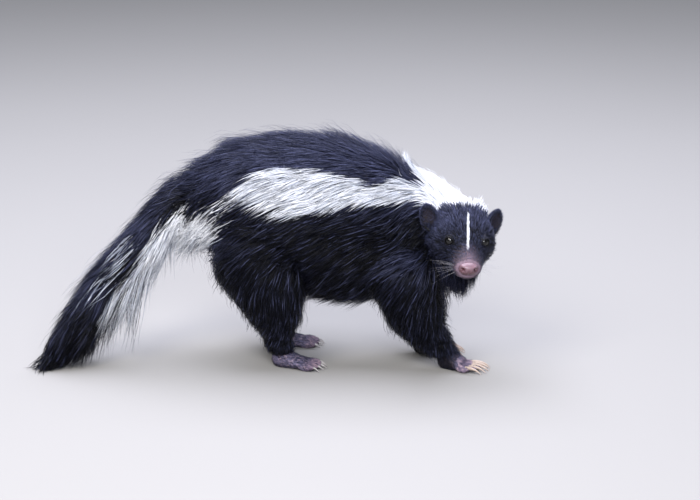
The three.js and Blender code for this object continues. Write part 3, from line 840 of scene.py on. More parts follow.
for key in ("length", "rise", "width", "spacing"):
    fields[key][isHead] = np.interp(headX[isHead], headCoat["at"], headCoat[key])
headLie = np.stack([
    -np.ones(isHead.sum()),
    0.25 * np.sign(inHead[isHead, 1]) * smoothStep(4, 20, np.abs(inHead[isHead, 1])),
    -0.35 * smoothStep(6, -14, inHead[isHead, 2]),
], axis=1)
lie[isHead] = headLie @ headAxes.T
# A ruff hangs from the jaw and the throat
ruff = isHead * ~onEar * smoothStep(-7, -16, headZ) * smoothStep(27, 15, headX)
blendInto(ruffCoat, ruff)
lie = blend(lie, np.array([-0.35, 0, -1.0]) @ headAxes.T, ruff[:, None])
throat = np.where(formOf["neck"] & ~isHead, smoothStep(0.1, 0.7, underneath) * smoothStep(66, 82, bodyX), 0)
fields["length"] *= 1 + 0.6 * throat
fields["spacing"] *= 1 - 0.25 * throat
innerEar = np.zeros(len(points))
hollow = np.array(earCup["radii"]) - earCup["wall"]
for side in (-1, 1):
    turn = np.array(earAxes(side).to_matrix())
    local = (inHead - earCentre(side)) @ turn
    mine = onEar & (headY * side > 0)
    edge = np.hypot(local[:, 1] / hollow[1], local[:, 2] / hollow[2])
    inside = mine * smoothStep(1.0, 0.85, edge) * smoothStep(0.0, 0.3, normals @ headAxes @ turn[:, 0])
    innerEar = np.maximum(innerEar, inside)
    for key, value in earCoat.items():
        fields[key][mine] = value
    fields["spacing"] += 0.3 * inside
    fields["length"] -= 1.2 * inside
    fields["rise"] -= 0.5 * inside
    outwards = local * (0, 1, 1) + (0, 0, 14)
    lie[mine] = (unit(outwards[mine]) @ turn.T) @ headAxes.T

# Short hair in front of the ears and beside them, fine hair round the eyes
blendInto(besideEarCoat, smoothStep(20, 13, earZone) * ~onEar * smoothStep(-14, -6, headX))
eyeDistance = fromEyes(inHead)
blendInto(eyeCoat, smoothStep(12, 6, eyeDistance) * isHead)

# The hair stands up on the crown, more on its left, and along the top of the neck
crest = np.exp(-((headX + 9) / 9) ** 2) * smoothStep(2, 12, headY) * smoothStep(6, 14, headZ) * ~onEar
tuftBesideEar = (
    np.exp(-((headX + 4) / 7) ** 2) * smoothStep(-7, -14, headY) * smoothStep(8, 15, headZ) * ~onEar
)
mane = (formOf["neck"] | formOf["trunk"]) * ~isHead * smoothStep(0.80, 1.0, height)
mane = mane * np.interp(bodyX, (48, 56, 64, 72, 78), (0, 0.9, 1, 0.3, 0))
fields["rise"] += 9.0 * crest + 3.0 * tuftBesideEar
fields["length"] += 8.0 * crest + 4.0 * tuftBesideEar
stand = np.maximum.reduce([crest, 0.6 * tuftBesideEar, mane])

blendRounds = 16
steady = np.where(onEar, 0.1, 1.0)
for key in fields:
    fields[key] = averaged(fields[key], blendRounds, steady)
lie = unit(averaged(unit(lie), blendRounds, steady))
# Tone of the black hair: lighter on the muzzle and darker round the eyes, with painted sheen on the forehead,
# painted top light on the body's upper side and painted shade on its flanks and underneath
shade = isHead * (
    0.09 + 0.40 * smoothStep(26, 18, headX) * smoothStep(2, 12, headZ)
    + 0.26 * smoothStep(33, 42, headX)
    + 0.65 * smoothStep(34, 41, headX) * np.exp(-(headY / 5) ** 2) * smoothStep(-5, 1, headZ)
    - 0.14 * np.exp(-((eyeDistance - 3) / 5) ** 2)
)
# painted top light where the body's hair faces up, painted shade where it faces sideways and down
shade += ~isHead * (0.46 * smoothStep(0.3, 0.8, normals[:, 2]) - 0.16 * smoothStep(0.4, 0.0, normals[:, 2]))
shade = averaged(shade, 6)
stand = averaged(stand, 4)
free = averaged(np.maximum.reduce([
    tailUnder, rumpEnd, tailEnd, 0.6 * belly, 0.95 * ruff, 0.8 * throat, 0.75 * stand, onEar.astype(float),
]), 3)
lie = unit(lie - normals * (lie * normals).sum(1, keepdims=True))
print("coat: fields blended")
print("coat: fields blended")

# White markings, soft over edge. Trunk: the stripe's lower and upper edge as the sine of the height round
# the body, by place along it.
stripe = {
    "thinning": 0.25,  # how much of the stripe's rear end is black strands
    "x": (-106, -100, -92, -85, -76, -61, -50, -40, -20, 0, 15, 30, 45, 58, 64, 70),
    "low": (0.26, 0.20, 0.15, 0.12, 0.09, 0.05, 0.09, 0.14, 0.21, 0.28, 0.33, 0.39, 0.45, 0.50, 0.48, 0.44),
    "high": (0.27, 0.34, 0.47, 0.55, 0.60, 0.65, 0.66, 0.66, 0.64, 0.62, 0.61, 0.64, 0.78, 0.84, 0.85, 0.85),
}
# Forward of these places the top of the neck is white. The black of the back ends in a wedge beside the
# midline.
napeEdge = {"height": (0.86, 0.95, 0.99, 1.0), "x": (63.0, 60.0, 54.0, 48.0)}
crown = {"front": -5.0, "side": 20.5, "curve": (0.03, 0.003)}
blaze = {"halfWidth": 1.15, "back": 9.5, "front": 39.0, "middle": (1.9, -1.0)}
# Single white hairs trail from the stripe's end down to the white of the tail, beside a slanting line
trail = {"share": 0.42, "height": 166, "slope": 0.78, "from": 92, "x": (-124, -80), "reach": 9, "lowest": 118}
rumpPatch = {"share": (0.5, 0.95), "edge": (-132, 0.786, 153), "top": (154, 0.45, 132), "low": 88}
tailPatch = {
    "share": (0.03, 0.12, 0.24, 0.34, 0.46, 0.54, 0.60, 0.66, 0.73, 0.79),
    "height": (-0.20, -0.04, -0.10, 0.02, 0.00, -0.05, -0.12, -0.28, -0.40, -1.3),
    "dense": (0.97, 0.60),  # how much of the patch is white at the tail's root and at its end
}
tailStreak = {"share": (0.50, 0.71), "height": (0.30, 0.88), "strength": 0.46}


# How white the coat is at places in the body's own frame: 1 inside a marking, 0 outside, soft between
def whiteAt(at, region, headMask, earMask):
    atX, _, atZ = at.T
    _, trunkHeight = placeOn(body["trunk"], at)
    _, neckHeight = placeOn(body["neck"], at)
    heightRound = np.where(region == formNames.index("neck"), neckHeight, trunkHeight)
    edge = 0.07
    low = np.interp(atX, stripe["x"], stripe["low"])
    high = np.interp(atX, stripe["x"], stripe["high"])
    band = smoothStep(low - edge, low + edge, heightRound) * smoothStep(high + edge, high - edge, heightRound)
    band *= smoothStep(stripe["x"][0] - 3, stripe["x"][0] + 4, atX)
    band *= 1 - stripe["thinning"] * smoothStep(-70, -104, atX)
    pastEdge = atX - np.interp(heightRound, napeEdge["height"], napeEdge["x"])
    nape = smoothStep(-2.5, 2.5, pastEdge) * smoothStep(0.40, 0.48, heightRound)
    offTrail = atZ - trail["height"] - trail["slope"] * (atX + trail["from"])
    hairs = trail["share"] * (atX < trail["x"][1]) * (atX > trail["x"][0])
    hairs = hairs * (np.abs(offTrail) < trail["reach"]) * (atZ > trail["lowest"])
    place, slope, middle = rumpPatch["edge"]
    behind = place + slope * (middle - atZ) - atX  # how far behind the slanting edge of the tail's white base
    top, slope, middle = rumpPatch["top"]
    rump = smoothStep(-3, 4, behind) * (atZ < top + slope * (atX + middle)) * (atZ > rumpPatch["low"])
    rump *= atZ > 113 + 1.09 * np.maximum(atX + 121, -40)
    first, last = rumpPatch["share"]
    rump = rump * (first + (last - first) * smoothStep(2, 18, behind))
    white = np.maximum.reduce([band, nape, hairs, rump])
    onTail = region == formNames.index("tail")
    tailShare, tailHeight = placeOn(body["tail"], at)
    line = np.interp(tailShare, tailPatch["share"], tailPatch["height"])
    patch = smoothStep(line + 0.12, line - 0.12, tailHeight) * (tailShare > 0.03)
    patch *= np.interp(tailShare, (0.3, 0.6), tailPatch["dense"])
    patch *= 1 - 0.45 * smoothStep(120, 106, atZ) * smoothStep(0.34, 0.26, tailShare)
    (first, last), (under, over) = tailStreak["share"], tailStreak["height"]
    streak = tailStreak["strength"] * (
        smoothStep(first - 0.03, first + 0.03, tailShare) * smoothStep(last + 0.03, last - 0.03, tailShare)
        * (tailHeight > under) * (tailHeight < over)
    )
    white = np.where(onTail, np.maximum(patch, streak), white)
    local = toHead(at)
    front = crown["front"] - np.where(local[:, 1] < 0, *crown["curve"]) * local[:, 1] ** 2
    top = smoothStep(front + 1, front - 1, local[:, 0]) * smoothStep(
        crown["side"] - 1.5, crown["side"] + 1.5, local[:, 2])
    middle = np.interp(local[:, 0], (blaze["back"], blaze["front"]), blaze["middle"])
    line = smoothStep(blaze["halfWidth"] + 0.4, blaze["halfWidth"] - 0.4, np.abs(local[:, 1] - middle))
    line *= smoothStep(blaze["back"] - 1, blaze["back"] + 1, local[:, 0])
    line *= smoothStep(blaze["front"] + 2, blaze["front"] - 2, local[:, 0]) * (local[:, 2] > -4)
    darkBesideEar = (
        smoothStep(-27, -22, local[:, 0]) * smoothStep(-28, -24, local[:, 1])
        * smoothStep(-6, -10, local[:, 1]) * (local[:, 2] > 0)
    )
    return np.where(headMask, np.maximum(top, line) * ~earMask, white * (1 - darkBesideEar))


skinWhite = whiteAt(points, formIndex, isHead, onEar)
bridge = smoothStep(32, 40, headX) * np.exp(-(headY / 5) ** 2) * smoothStep(-5, 1, headZ)
bare = 0.5 * smoothStep(32, 45, headX) + 0.5 * smoothStep(1.45, 1.15, fromPad(inHead)) + 0.4 * bridge
bare = np.where(isHead, np.minimum(bare, 1), 0)


# One colour attribute holds the markings, with the painted light of the hair's tone and of the nose pad's
# top: its channels are read by the materials
def addMarkingAndPaintedLight(mesh, *values):
    colours = np.ones((len(values[0]), 4), np.float32)
    for column, value in enumerate(values):
        colours[:, column] = value
    attribute = mesh.color_attributes.new("markingAndPaintedLight", "FLOAT_COLOR", "POINT")
    attribute.data.foreach_set("color", colours.ravel())


addMarkingAndPaintedLight(skin.data, skinWhite, np.maximum(bare, 0.10 * innerEar), 0.5 * (footward * footTint + toeward))

# An unwrap of the skin's own shape, on a coarser copy, says where each tuft lies on the map of the coat
chart = addObject("chart", skin.data.copy())
thin = chart.modifiers.new("thin", "DECIMATE")
thin.ratio = 0.12
applyModifiers(chart)
bpy.ops.object.select_all(action="DESELECT")
chart.select_set(True)
bpy.context.view_layer.objects.active = chart
bpy.ops.object.mode_set(mode="EDIT")
bpy.ops.mesh.select_all(action="SELECT")
bpy.ops.uv.smart_project(angle_limit=math.radians(72), island_margin=0.004)
bpy.ops.object.mode_set(mode="OBJECT")
chart.data.calc_loop_triangles()
chartPoints = pointsOf(chart)
chartFaces = np.array([triangle.vertices[:] for triangle in chart.data.loop_triangles])
chartLoops = np.array([triangle.loops[:] for triangle in chart.data.loop_triangles])
chartUv = np.empty(len(chart.data.loops) * 2)
chart.data.uv_layers.active.data.foreach_get("uv", chartUv)
chartUv = chartUv.reshape(-1, 2)
chartTree = BVHTree.FromPolygons(chartPoints.tolist(), chartFaces.tolist())
bpy.data.objects.remove(chart)
print("coat: unwrap of the skin", len(chartFaces))


def onChart(places):
    found = [chartTree.find_nearest(place) for place in places]
    return (np.array([hit[part] for hit in found]) for part in range(3))  # place, facing and triangle


def chartPlace(at, face):
    a, b, c = (chartPoints[chartFaces[face, corner]] for corner in range(3))
    v0, v1, v2 = b - a, c - a, at - a
    d00, d01, d11 = (v0 * v0).sum(1), (v0 * v1).sum(1), (v1 * v1).sum(1)
    d20, d21 = (v2 * v0).sum(1), (v2 * v1).sum(1)
    scale = np.maximum(d00 * d11 - d01 * d01, 1e-12)
    v = np.clip((d11 * d20 - d01 * d21) / scale, 0, 1)
    w = np.clip((d00 * d21 - d01 * d20) / scale, 0, 1)
    corners = [chartUv[chartLoops[face, corner]] for corner in range(3)]
    return corners[0] * (1 - v - w)[:, None] + corners[1] * v[:, None] + corners[2] * w[:, None]


# Roots spread over the skin by the distance that each place asks for
skin.data.calc_loop_triangles()
triangles = np.empty(len(skin.data.loop_triangles) * 3, int)
skin.data.loop_triangles.foreach_get("vertices", triangles)
triangles = triangles.reshape(-1, 3)
corners = points[triangles]
area = 0.5 * np.linalg.norm(np.cross(corners[:, 1] - corners[:, 0], corners[:, 2] - corners[:, 0]), axis=1)
spacing = fields["spacing"][triangles].mean(1)
wanted = area / spacing**2
headCorners = inHead[triangles]
headMiddle = headCorners.mean(1)
hairless = corners[:, :, 2].max(1) < 0.6  # the soles
hairless |= (headCorners[:, :, 0].min(1) > 48.5) & isHead[triangles].all(1)
hairless |= fromEyes(headMiddle) < eyeBall["radius"] + 0.9
hairless |= fromPad(headMiddle) < 1.12
wanted[hairless] = 0
cellX, cellY, cellZ = np.floor(corners[:, 0] / 4).T
order = np.lexsort((cellY, cellZ, cellX))
running = np.cumsum(wanted[order])
count = int(running[-1])
places = (np.arange(count) + randomDraw.random(count)) * running[-1] / count
chosen = order[np.searchsorted(running, places).clip(0, len(order) - 1)]
first, second = randomDraw.random(count), randomDraw.random(count)
flip = first + second > 1
first[flip], second[flip] = 1 - first[flip], 1 - second[flip]
mixes = np.stack([1 - first - second, first, second], axis=1)


def mixed(values):
    picked = values[triangles[chosen]]
    weights = mixes if values.ndim == 1 else mixes[:, :, None]
    return (picked * weights).sum(1)


root = mixed(points)
rootNormal = unit(mixed(normals))
rootLie = mixed(lie)
length, rise, width = (mixed(fields[key]) for key in ("length", "rise", "width"))
rootForm = formIndex[triangles[chosen, 0]]
rootHead = isHead[triangles[chosen, 0]]
rootEar = onEar[triangles[chosen, 0]]
rootFree = mixed(free)
rootStand = np.where(rootEar, 0, mixed(stand))
print("coat: roots", count)


# Slow waves over the body that turn neighbouring tufts together
def waves(at, lengths, seed):
    draw = np.random.default_rng(seed)
    total = np.zeros(len(at))
    for wave in lengths:
        for _ in range(3):
            heading = unit(draw.normal(size=3))
            total += np.sin(at @ heading * 2 * math.pi / wave + draw.random() * 6.28)
    return total / (3 * len(lengths)) ** 0.5


# Single strands painted lighter: pale guard hairs, and painted glints where strands of the black coat catch
# the light
paleStrands = {"share": 0.13, "tone": (0.3, 1.0)}  # single strands that catch more light than the rest
looseness = {
    "turnWaves": 0.16, "turnEach": 0.10, "lengthEach": 0.22, "riseEach": 0.45, "clump": 0.42,
    "clumpSpacing": 7.0, "guardHairs": 0.08, "hanging": 0.2,
}
guardHair = {"rise": (1.55, 0.4), "length": 1.12, "width": 0.6}  # longer and finer, and stands off more
floorGap = 0.4
# The black top of the tail's root: how far the skin faces up, how far back and how high it begins
wrappedTop = {"facing": 0.25, "x": -104, "z": 150}
# How light a strand is: 0 dark, 1 light, first for black hair, then for white
tones = {
    "black": 0.06, "spreadHead": 0.30, "spreadBody": 0.16, "tailEnd": -0.2,
    "white": 0.62, "spreadWhite": 0.32, "nape": 0.3, "tailRootPaintedLight": 0.5, "tailSide": -0.5, "greyMuzzle": 0.04,
}
across = np.cross(rootNormal, rootLie)
hanging = np.where(rootEar, 0, rootFree)
turn = looseness["turnWaves"] * waves(root, (14, 32, 60), 3)
turn = turn + looseness["turnEach"] * randomDraw.normal(size=count) * (1 + hanging)
heading = unit(rootLie + across * turn[:, None])
length = length * (1 + looseness["lengthEach"] * randomDraw.uniform(-1, 1, count) * (1 + 0.7 * hanging))
length = length * (1 + 0.08 * waves(root, (18, 40), 5))
lift = 1 + looseness["riseEach"] * randomDraw.uniform(-1, 0.6, count) + 0.18 * waves(root, (10, 24), 7)
rise = rise * lift
loose = randomDraw.random(count) < looseness["guardHairs"]
rise = np.where(loose, rise * guardHair["rise"][0] + guardHair["rise"][1], rise)
length = np.where(loose, length * guardHair["length"], length)
width = np.where(loose, width * guardHair["width"], width)

middleAt, middleFacing, _ = onChart(root + heading * (length * 0.5)[:, None])
tipAt, tipFacing, _ = onChart(root + heading * (length * 0.97)[:, None])
rootOnChart, _, rootFace = onChart(root)
rootUv = chartPlace(rootOnChart, rootFace)
through = middleAt + middleFacing * (rise * 0.72)[:, None]
tip = tipAt + tipFacing * rise[:, None]

# Long hair under the tail and rump hangs free, and hair at the tail's end and on the ears stands off
droop = np.where(rootEar, 0.0, mixed(np.maximum.reduce([
    tailUnder * (0.5 + 0.5 * smoothStep(0.3, 0.6, share)),
    rumpEnd * 0.2, ruff * 2.2, throat * 1.2, belly * 0.25,
])))
lean = np.where(rootEar, 0.45, 0.35) + 0.95 * rootStand * randomDraw.uniform(0.5, 1.3, count)
freeWay = heading - up * droop[:, None] + rootNormal * lean[:, None]
freeWay = unit(freeWay + looseness["hanging"] * randomDraw.normal(size=(count, 3)) * hanging[:, None])
freeTip = root + freeWay * length[:, None]
freeMiddle = root + unit(heading + rootNormal * 0.5) * (length * 0.5)[:, None]
freeShare = rootFree[:, None]
tip = blend(tip, freeTip, freeShare)
through = blend(through, freeMiddle, freeShare)
tipFacing = unit(blend(tipFacing, rootNormal, freeShare))

# Tufts lean together into clumps
cells = np.floor(root / looseness["clumpSpacing"] + 0.31).astype(int)
_, leaders = np.unique(cells, axis=0, return_index=True)
clumpTree = treeOf(root[leaders])
leaderOf = leaders[np.array([clumpTree.find(place)[1] for place in root])]
pull = looseness["clump"] * smoothStep(6, 20, length) * randomDraw.uniform(0.3, 1.0, count)
pull = pull * (1 + 0.9 * hanging)
alike = (heading * heading[leaderOf]).sum(1) > 0.7
pull = np.where(alike, pull, 0)[:, None]
tip = blend(tip, tip[leaderOf], pull)
through = through * (1 - 0.45 * pull) + through[leaderOf] * 0.45 * pull

regular = (unit(tip - root) * heading).sum(1) > 0.3
length = np.linalg.norm(tip - root, axis=1)
sink = np.minimum(1.5, 0.12 * length)
start = root - rootNormal * sink[:, None]
bend = 2 * through - 0.5 * (start + tip)
tip[:, 2] = np.maximum(tip[:, 2], floorGap)
bend[:, 2] = np.maximum(bend[:, 2], floorGap)

marked = blend(root, tip, np.where(rootHead, 0.5, 0.75)[:, None])
white = whiteAt(marked, rootForm, rootHead, rootEar)
wrapped = (rootNormal[:, 2] > wrappedTop["facing"]) & (root[:, 0] < wrappedTop["x"])
white = np.where(wrapped & (root[:, 2] > wrappedTop["z"]), 0, white)
white = (white + np.clip(0.15 * randomDraw.normal(size=count), -0.4, 0.4) > 0.5).astype(float)
greyMuzzle = np.where(rootHead, smoothStep(35, 47, toHead(root)[:, 0]), 0)
white = np.maximum(white, tones["greyMuzzle"] * greyMuzzle)
spread = np.where(rootHead, tones["spreadHead"], tones["spreadBody"])
tone = tones["black"] + mixed(shade) + spread * randomDraw.normal(size=count)
isPale = randomDraw.random(count) < paleStrands["share"]
tone += np.where(isPale, randomDraw.uniform(*paleStrands["tone"], count), 0)
tone += np.where(rootHead, 0.16 * waves(root, (4, 8), 13), 0.10 * waves(root, (6, 16), 11))
tailShareAt, tailHeightAt = placeOn(body["tail"], marked)
onTailRoot = rootForm == formNames.index("tail")
tone += tones["tailEnd"] * onTailRoot * smoothStep(0.72, 0.86, tailShareAt)
whiteTone = tones["white"] + tones["spreadWhite"] * randomDraw.normal(size=count)
whiteTone += tones["nape"] * (marked[:, 0] > 66)
# painted light: the upper white at the tail's root is painted lighter where its hair faces down into shade
whiteTone += tones["tailRootPaintedLight"] * smoothStep(112, 126, marked[:, 2]) * (marked[:, 0] < -104)
whiteTone += tones["tailSide"] * onTailRoot * (tailHeightAt > 0.2)
tone = np.clip(np.where(white > 0.5, whiteTone, tone), 0, 1)
print("coat: paths")

tuft = {"fullRings": (0.0, 0.36, 0.72), "shortRings": (0.0, 0.5), "longFrom": 13, "patch": 0.003}


# Flat tapered tufts with a ridge: three edges on each ring, closed at the root, drawn to a point
def tuftPiece(name, rows, ringPlaces):
    rings = len(ringPlaces)
    number = len(rows)
    a, b, c = start[rows], bend[rows], tip[rows]
    facing = rootNormal[rows] * 0.5 + tipFacing[rows] * 0.5
    vertices = np.zeros((number, rings * 3 + 1, 3), np.float32)
    alongValues = np.zeros((number, rings * 3 + 1), np.float32)
    for ring, s in enumerate(ringPlaces):
        centre, along = bentPath(a, b, c, s)
        side = unit(np.cross(facing, along))
        over = np.cross(along, side)
        half = (width[rows] * 0.5 * (0.85 + 0.5 * s - 1.1 * s * s))[:, None]
        deep = half * 0.45
        vertices[:, ring * 3] = centre - side * half
        vertices[:, ring * 3 + 1] = centre + over * deep
        vertices[:, ring * 3 + 2] = centre + side * half
        alongValues[:, ring * 3:ring * 3 + 3] = s
    vertices[:, -1] = c
    alongValues[:, -1] = 1
    quads = []
    for ring in range(rings - 1):
        for corner in range(3):
            low, beside = ring * 3 + corner, ring * 3 + (corner + 1) % 3
            quads.append((low, low + 3, beside + 3, beside))
    last = (rings - 1) * 3
    threes = [(0, 1, 2)] + [(last + corner, rings * 3, last + (corner + 1) % 3) for corner in range(3)]
    pattern = np.array([index for face in quads + threes for index in face])
    sizes = np.array([len(face) for face in quads + threes])
    perTuft = rings * 3 + 1
    loops = (pattern[None, :] + (np.arange(number) * perTuft)[:, None]).ravel()
    totals = np.tile(sizes, number)
    starts = np.concatenate([[0], np.cumsum(totals)[:-1]])
    mesh = bpy.data.meshes.new(name)
    mesh.vertices.add(number * perTuft)
    mesh.vertices.foreach_set("co", toWorld(vertices.reshape(-1, 3)).astype(np.float32).ravel())
    mesh.loops.add(len(loops))
    mesh.loops.foreach_set("vertex_index", loops.astype(np.int32))
    mesh.polygons.add(len(totals))
    mesh.polygons.foreach_set("loop_start", starts.astype(np.int32))
    mesh.polygons.foreach_set("use_smooth", np.ones(len(totals), bool))
    mesh.update()
    mesh.validate()
    # each tuft is one small patch at its root's place on the unwrap
    cornerShift = np.append(np.tile([-0.5, 0.0, 0.5], rings), 0.0)
    uv = np.zeros((number, perTuft, 2), np.float32)
    uv[:, :, 0] = rootUv[rows, 0][:, None] + tuft["patch"] * cornerShift[None, :]
    uv[:, :, 1] = rootUv[rows, 1][:, None] + tuft["patch"] * (alongValues - 0.5)
    layer = mesh.uv_layers.new(name="OFBake")
    layer.data.foreach_set("uv", uv.reshape(-1, 2)[loops].ravel())
    addMarkingAndPaintedLight(mesh, np.repeat(white[rows], perTuft), np.repeat(tone[rows], perTuft), alongValues.ravel())
    return addObject(name, mesh)


# Pieces of the coat, each under 200,000 triangles
longHair = length > tuft["longFrom"]
coatPieces = []
for word, mask, rings, most in (
    ("long", longHair, tuft["fullRings"], 12000), ("short", ~longHair, tuft["shortRings"], 19000),
):
    rows = np.nonzero(mask & regular)[0]
    rows = rows[np.argsort(root[rows, 0], kind="stable")]
    for part in range(math.ceil(len(rows) / most)):
        chunk = rows[part * most:(part + 1) * most]
        coatPieces.append(tuftPiece(f"coat_{word}_{part + 1}", chunk, rings))
coatSizes = [len(piece.data.loops) - 2 * len(piece.data.polygons) for piece in coatPieces]
print("coat: pieces", len(coatPieces), "triangles", sum(coatSizes), "most in one", max(coatSizes))

setPoints(skin, toWorld(pointsOf(skin)))
smooth(skin)

# Eyes, nose pad and claws
eyes = []
for word, side in sidesOfBody.items():
    centre = eyeCentre(side)
    axes = frameAlong(gazeAxis(side))
    ball = ellipsoid(f"eye_ball_{word}", (0, 0, 0), (eyeBall["radius"],) * 3, None, 64, 48)
    local = pointsOf(ball)
    local[:, 0] *= 0.88  # the front is a wide shallow dome
    local[:, 0] += 0.3
    setPoints(ball, local)
    placed(ball, axes, centre)
    setPoints(ball, toWorld(fromHead(pointsOf(ball))))
    eyes.append(ball)

# Dents and swellings of the nose pad on both sides of its middle: place, stretch, reach and height
padRelief = [
    ((3.2, 6.3, 0.8), (2.6, 1.15, 0.95), 1.6, -5.2),  # nostril
    ((3.2 - 1.4, 7.8, 0.8 - 1.6), (2.4, 1.0, 1.6), 1.1, -1.6),  # the comma that runs out and down
    ((3.2 + 0.3, 5.9, 3.2), (2.2, 1.7, 0.8), 1.4, 0.7),  # rim
]
nose = ellipsoid("nose_pad", (0, 0, 0), nosePad["radii"], None, 160, 120)
local = pointsOf(nose)
outward = unit(local / np.array(nosePad["radii"]) ** 2)
dent = np.zeros(len(local))
for side in (-1, 1):
    for (x, y, z), stretch, reach, swell in padRelief:
        away = (local - (x, side * y, z)) / stretch
        dent += swell * np.exp(-(np.linalg.norm(away, axis=1) / reach) ** 2)
groove = np.exp(-(local[:, 1] / 0.45) ** 2) * (local[:, 0] > 0) * smoothStep(2.5, -1.0, local[:, 2])
dent -= 0.6 * groove
# Painted light on the pad: its upper side is painted lighter, as painted top light, except in the nostril
# dents, which keep the darker colour as painted shade
padTopLightAndNostrilShade = smoothStep(-2.5, 4.5, local[:, 2]) * smoothStep(-3.0, -0.5, dent)
local = local + outward * dent[:, None]
addMarkingAndPaintedLight(nose.data, padTopLightAndNostrilShade, 0, 0)
setPoints(nose, toWorld(fromHead(local + np.array(nosePad["centre"]))))


def clawPiece(name, limb, form, each):
    foot = feet[limb["form"]]
    heading = headingOf(each["turn"])
    base = each["at"] + heading * (each["length"] * 1.25 - 1) + (0, 0, 0.9)
    reach = foot["clawLength"]
    middle = base + heading * reach * 0.55 + (0, 0, reach * foot["clawArch"])
    end = base + heading * reach
    end[2] = 0.7
    base = base - heading * 2.5
    rings, sides = 18, 14
    s = np.linspace(0, 0.985, rings)[:, None]
    centre, along = bentPath(base, middle, end, s)
    taper = (1 - s**1.6) ** 0.9
    high = foot["clawThickness"] * taper
    grid = ringsRound(centre, along, high * 0.8, high, sides)
    made = meshObject(name, np.vstack([grid, base[None, :], end[None, :]]), closedFaces(rings, sides))
    turn, at = footPlace(limb, form)
    placed(made, turn, at)
    local = pointsOf(made)
    local[:, 2] = np.maximum(local[:, 2], 0.1)
    setPoints(made, toWorld(local))
    return made


claws = []
for name, limb in limbs.items():
    for index, each in enumerate(toeRow(feet[limb["form"]])):
        piece = clawPiece(f"nail_{name}_{index + 1}", limb, body[name], each)
        claws.append((f"claw_{name}_{index + 1}", piece))

# Whiskers and brow hairs: thin tapered bristles
whiskers = {"rows": 3, "each": 3, "length": 27, "thickness": 0.1, "brows": 3, "browLength": 9.0}
bristles = []
for side in (-1, 1):
    for row in range(whiskers["rows"]):
        for column in range(whiskers["each"]):
            at = np.array([44 - 3.2 * column, side * (9.0 + 1.1 * column), -8.5 - 1.9 * row])
            aim = unit(np.array([-0.15 - 0.25 * column, side * 1.0, 0.05 - 0.24 * row]))
            aim = unit(aim + 0.14 * randomDraw.normal(size=3))
            bristles.append((at, aim, whiskers["length"] * randomDraw.uniform(0.55, 1.25), 1.0))
    for brow in range(whiskers["brows"]):
        at = np.array([26.0 + 1.5 * brow, side * (12.0 + brow), 11.5 - brow])
        aim = unit(np.array([0.2, side * 0.6, 1.0 - 0.2 * brow]))
        bristles.append((at, aim, whiskers["browLength"], 0.6))
skinFaces = [polygon.vertices[:] for polygon in skin.data.polygons]
skinTree = BVHTree.FromPolygons((pointsOf(skin) / mm - shift).tolist(), skinFaces)
rings, sides = 9, 5
grids, faces = [], []
for at, aim, reach, thick in bristles:
    hit = skinTree.find_nearest(fromHead(at[None, :])[0])[0]
    base = toHead(np.array(hit)[None, :])[0] - aim * 1.2
    s = np.linspace(0, 1, rings)[:, None]
    droop = np.array([-0.25, 0, -0.3]) * reach * s**2 * 0.6
    centre = base + aim * reach * s + droop
    along = unit(np.gradient(centre, axis=0))
    radius = thick * whiskers["thickness"] * (1.02 - s)
    offset = len(grids) * rings * sides
    loop = tuple(range(offset, offset + sides))
    faces += [tuple(offset + index for index in face) for face in tubeFaces(rings, sides)]
    faces += [loop[::-1], tuple(index + (rings - 1) * sides for index in loop)]
    grids.append(ringsRound(centre, along, radius, radius, sides))
whiskerPiece = meshObject("whiskers", toWorld(fromHead(np.vstack(grids))), faces)
print("head: eyes, nose pad, claws and whiskers")


# Materials
def linear(code):
    shares = [int(code[start:start + 2], 16) / 255 for start in (1, 3, 5)]
    light = [share / 12.92 if share <= 0.04045 else ((share + 0.055) / 1.055) ** 2.4 for share in shares]
    return (*light, 1.0)


def addNode(tree, kind, settings=None, inputs=None):
    made = tree.nodes.new(kind)
    for name, value in (settings or {}).items():
        setattr(made, name, value)
    for name, value in (inputs or {}).items():
        socket = made.inputs[name]
        if isinstance(value, bpy.types.NodeSocket):
            tree.links.new(value, socket)
        else:
            socket.default_value = value
    return made


def newMaterial(name, settings):
    material = bpy.data.materials.new(name)
    material.use_nodes = True
    tree = material.node_tree
    tree.nodes.clear()
    shader = addNode(tree, "ShaderNodeBsdfPrincipled", {}, settings)
    addNode(tree, "ShaderNodeOutputMaterial", {}, {"Surface": shader.outputs[0]})
    return material, tree, shader


def mixColour(tree, share, first, second, mode="MIX"):
    first, second = (linear(value) if isinstance(value, str) else value for value in (first, second))
    settings = {"data_type": "RGBA", "blend_type": mode}
    return addNode(tree, "ShaderNodeMix", settings, {0: share, 6: first, 7: second}).outputs[2]


# The place on the piece, in units of this many millimetres
def positionIn(tree, size):
    coordinates = addNode(tree, "ShaderNodeTexCoord")
    settings = {"Vector": coordinates.outputs["Object"], "Scale": (1 / (size * mm),) * 3}
    return addNode(tree, "ShaderNodeMapping", {}, settings).outputs[0]


# The channels of the colour attribute with the markings and painted light
def channelsOfMarkingAndPaintedLight(tree):
    markingAndPaintedLight = addNode(tree, "ShaderNodeAttribute", {"attribute_name": "markingAndPaintedLight"})
    return addNode(tree, "ShaderNodeSeparateColor", {}, {"Color": markingAndPaintedLight.outputs["Color"]}).outputs


def finishLook(tree, shader, colour, relief=None, strength=0.0, depth=0.0):
    tree.links.new(colour, shader.inputs["Base Color"])
    if relief is not None:
        settings = {"Height": relief, "Strength": strength, "Distance": depth}
        bump = addNode(tree, "ShaderNodeBump", {}, settings)
        tree.links.new(bump.outputs[0], shader.inputs["Normal"])


# Guard hair: keratin, black with a cold sheen or white; smooth scales give each strand a soft long highlight
hairLook = {
    # the black's lighter bluish end: pale strands, and the painted sheen and painted top light of the hair's
    # tone
    "black": "#030305", "blackPaleAndSheen": "#4d516e", "white": "#f4f5f8", "whiteDark": "#a3abb9",
    "surface": {
        "Roughness": 0.36, "IOR": 1.55, "Specular IOR Level": 0.11, "Sheen Weight": 0.03,
        "Sheen Tint": linear("#8b96d8"), "Sheen Roughness": 0.35,
    },
}


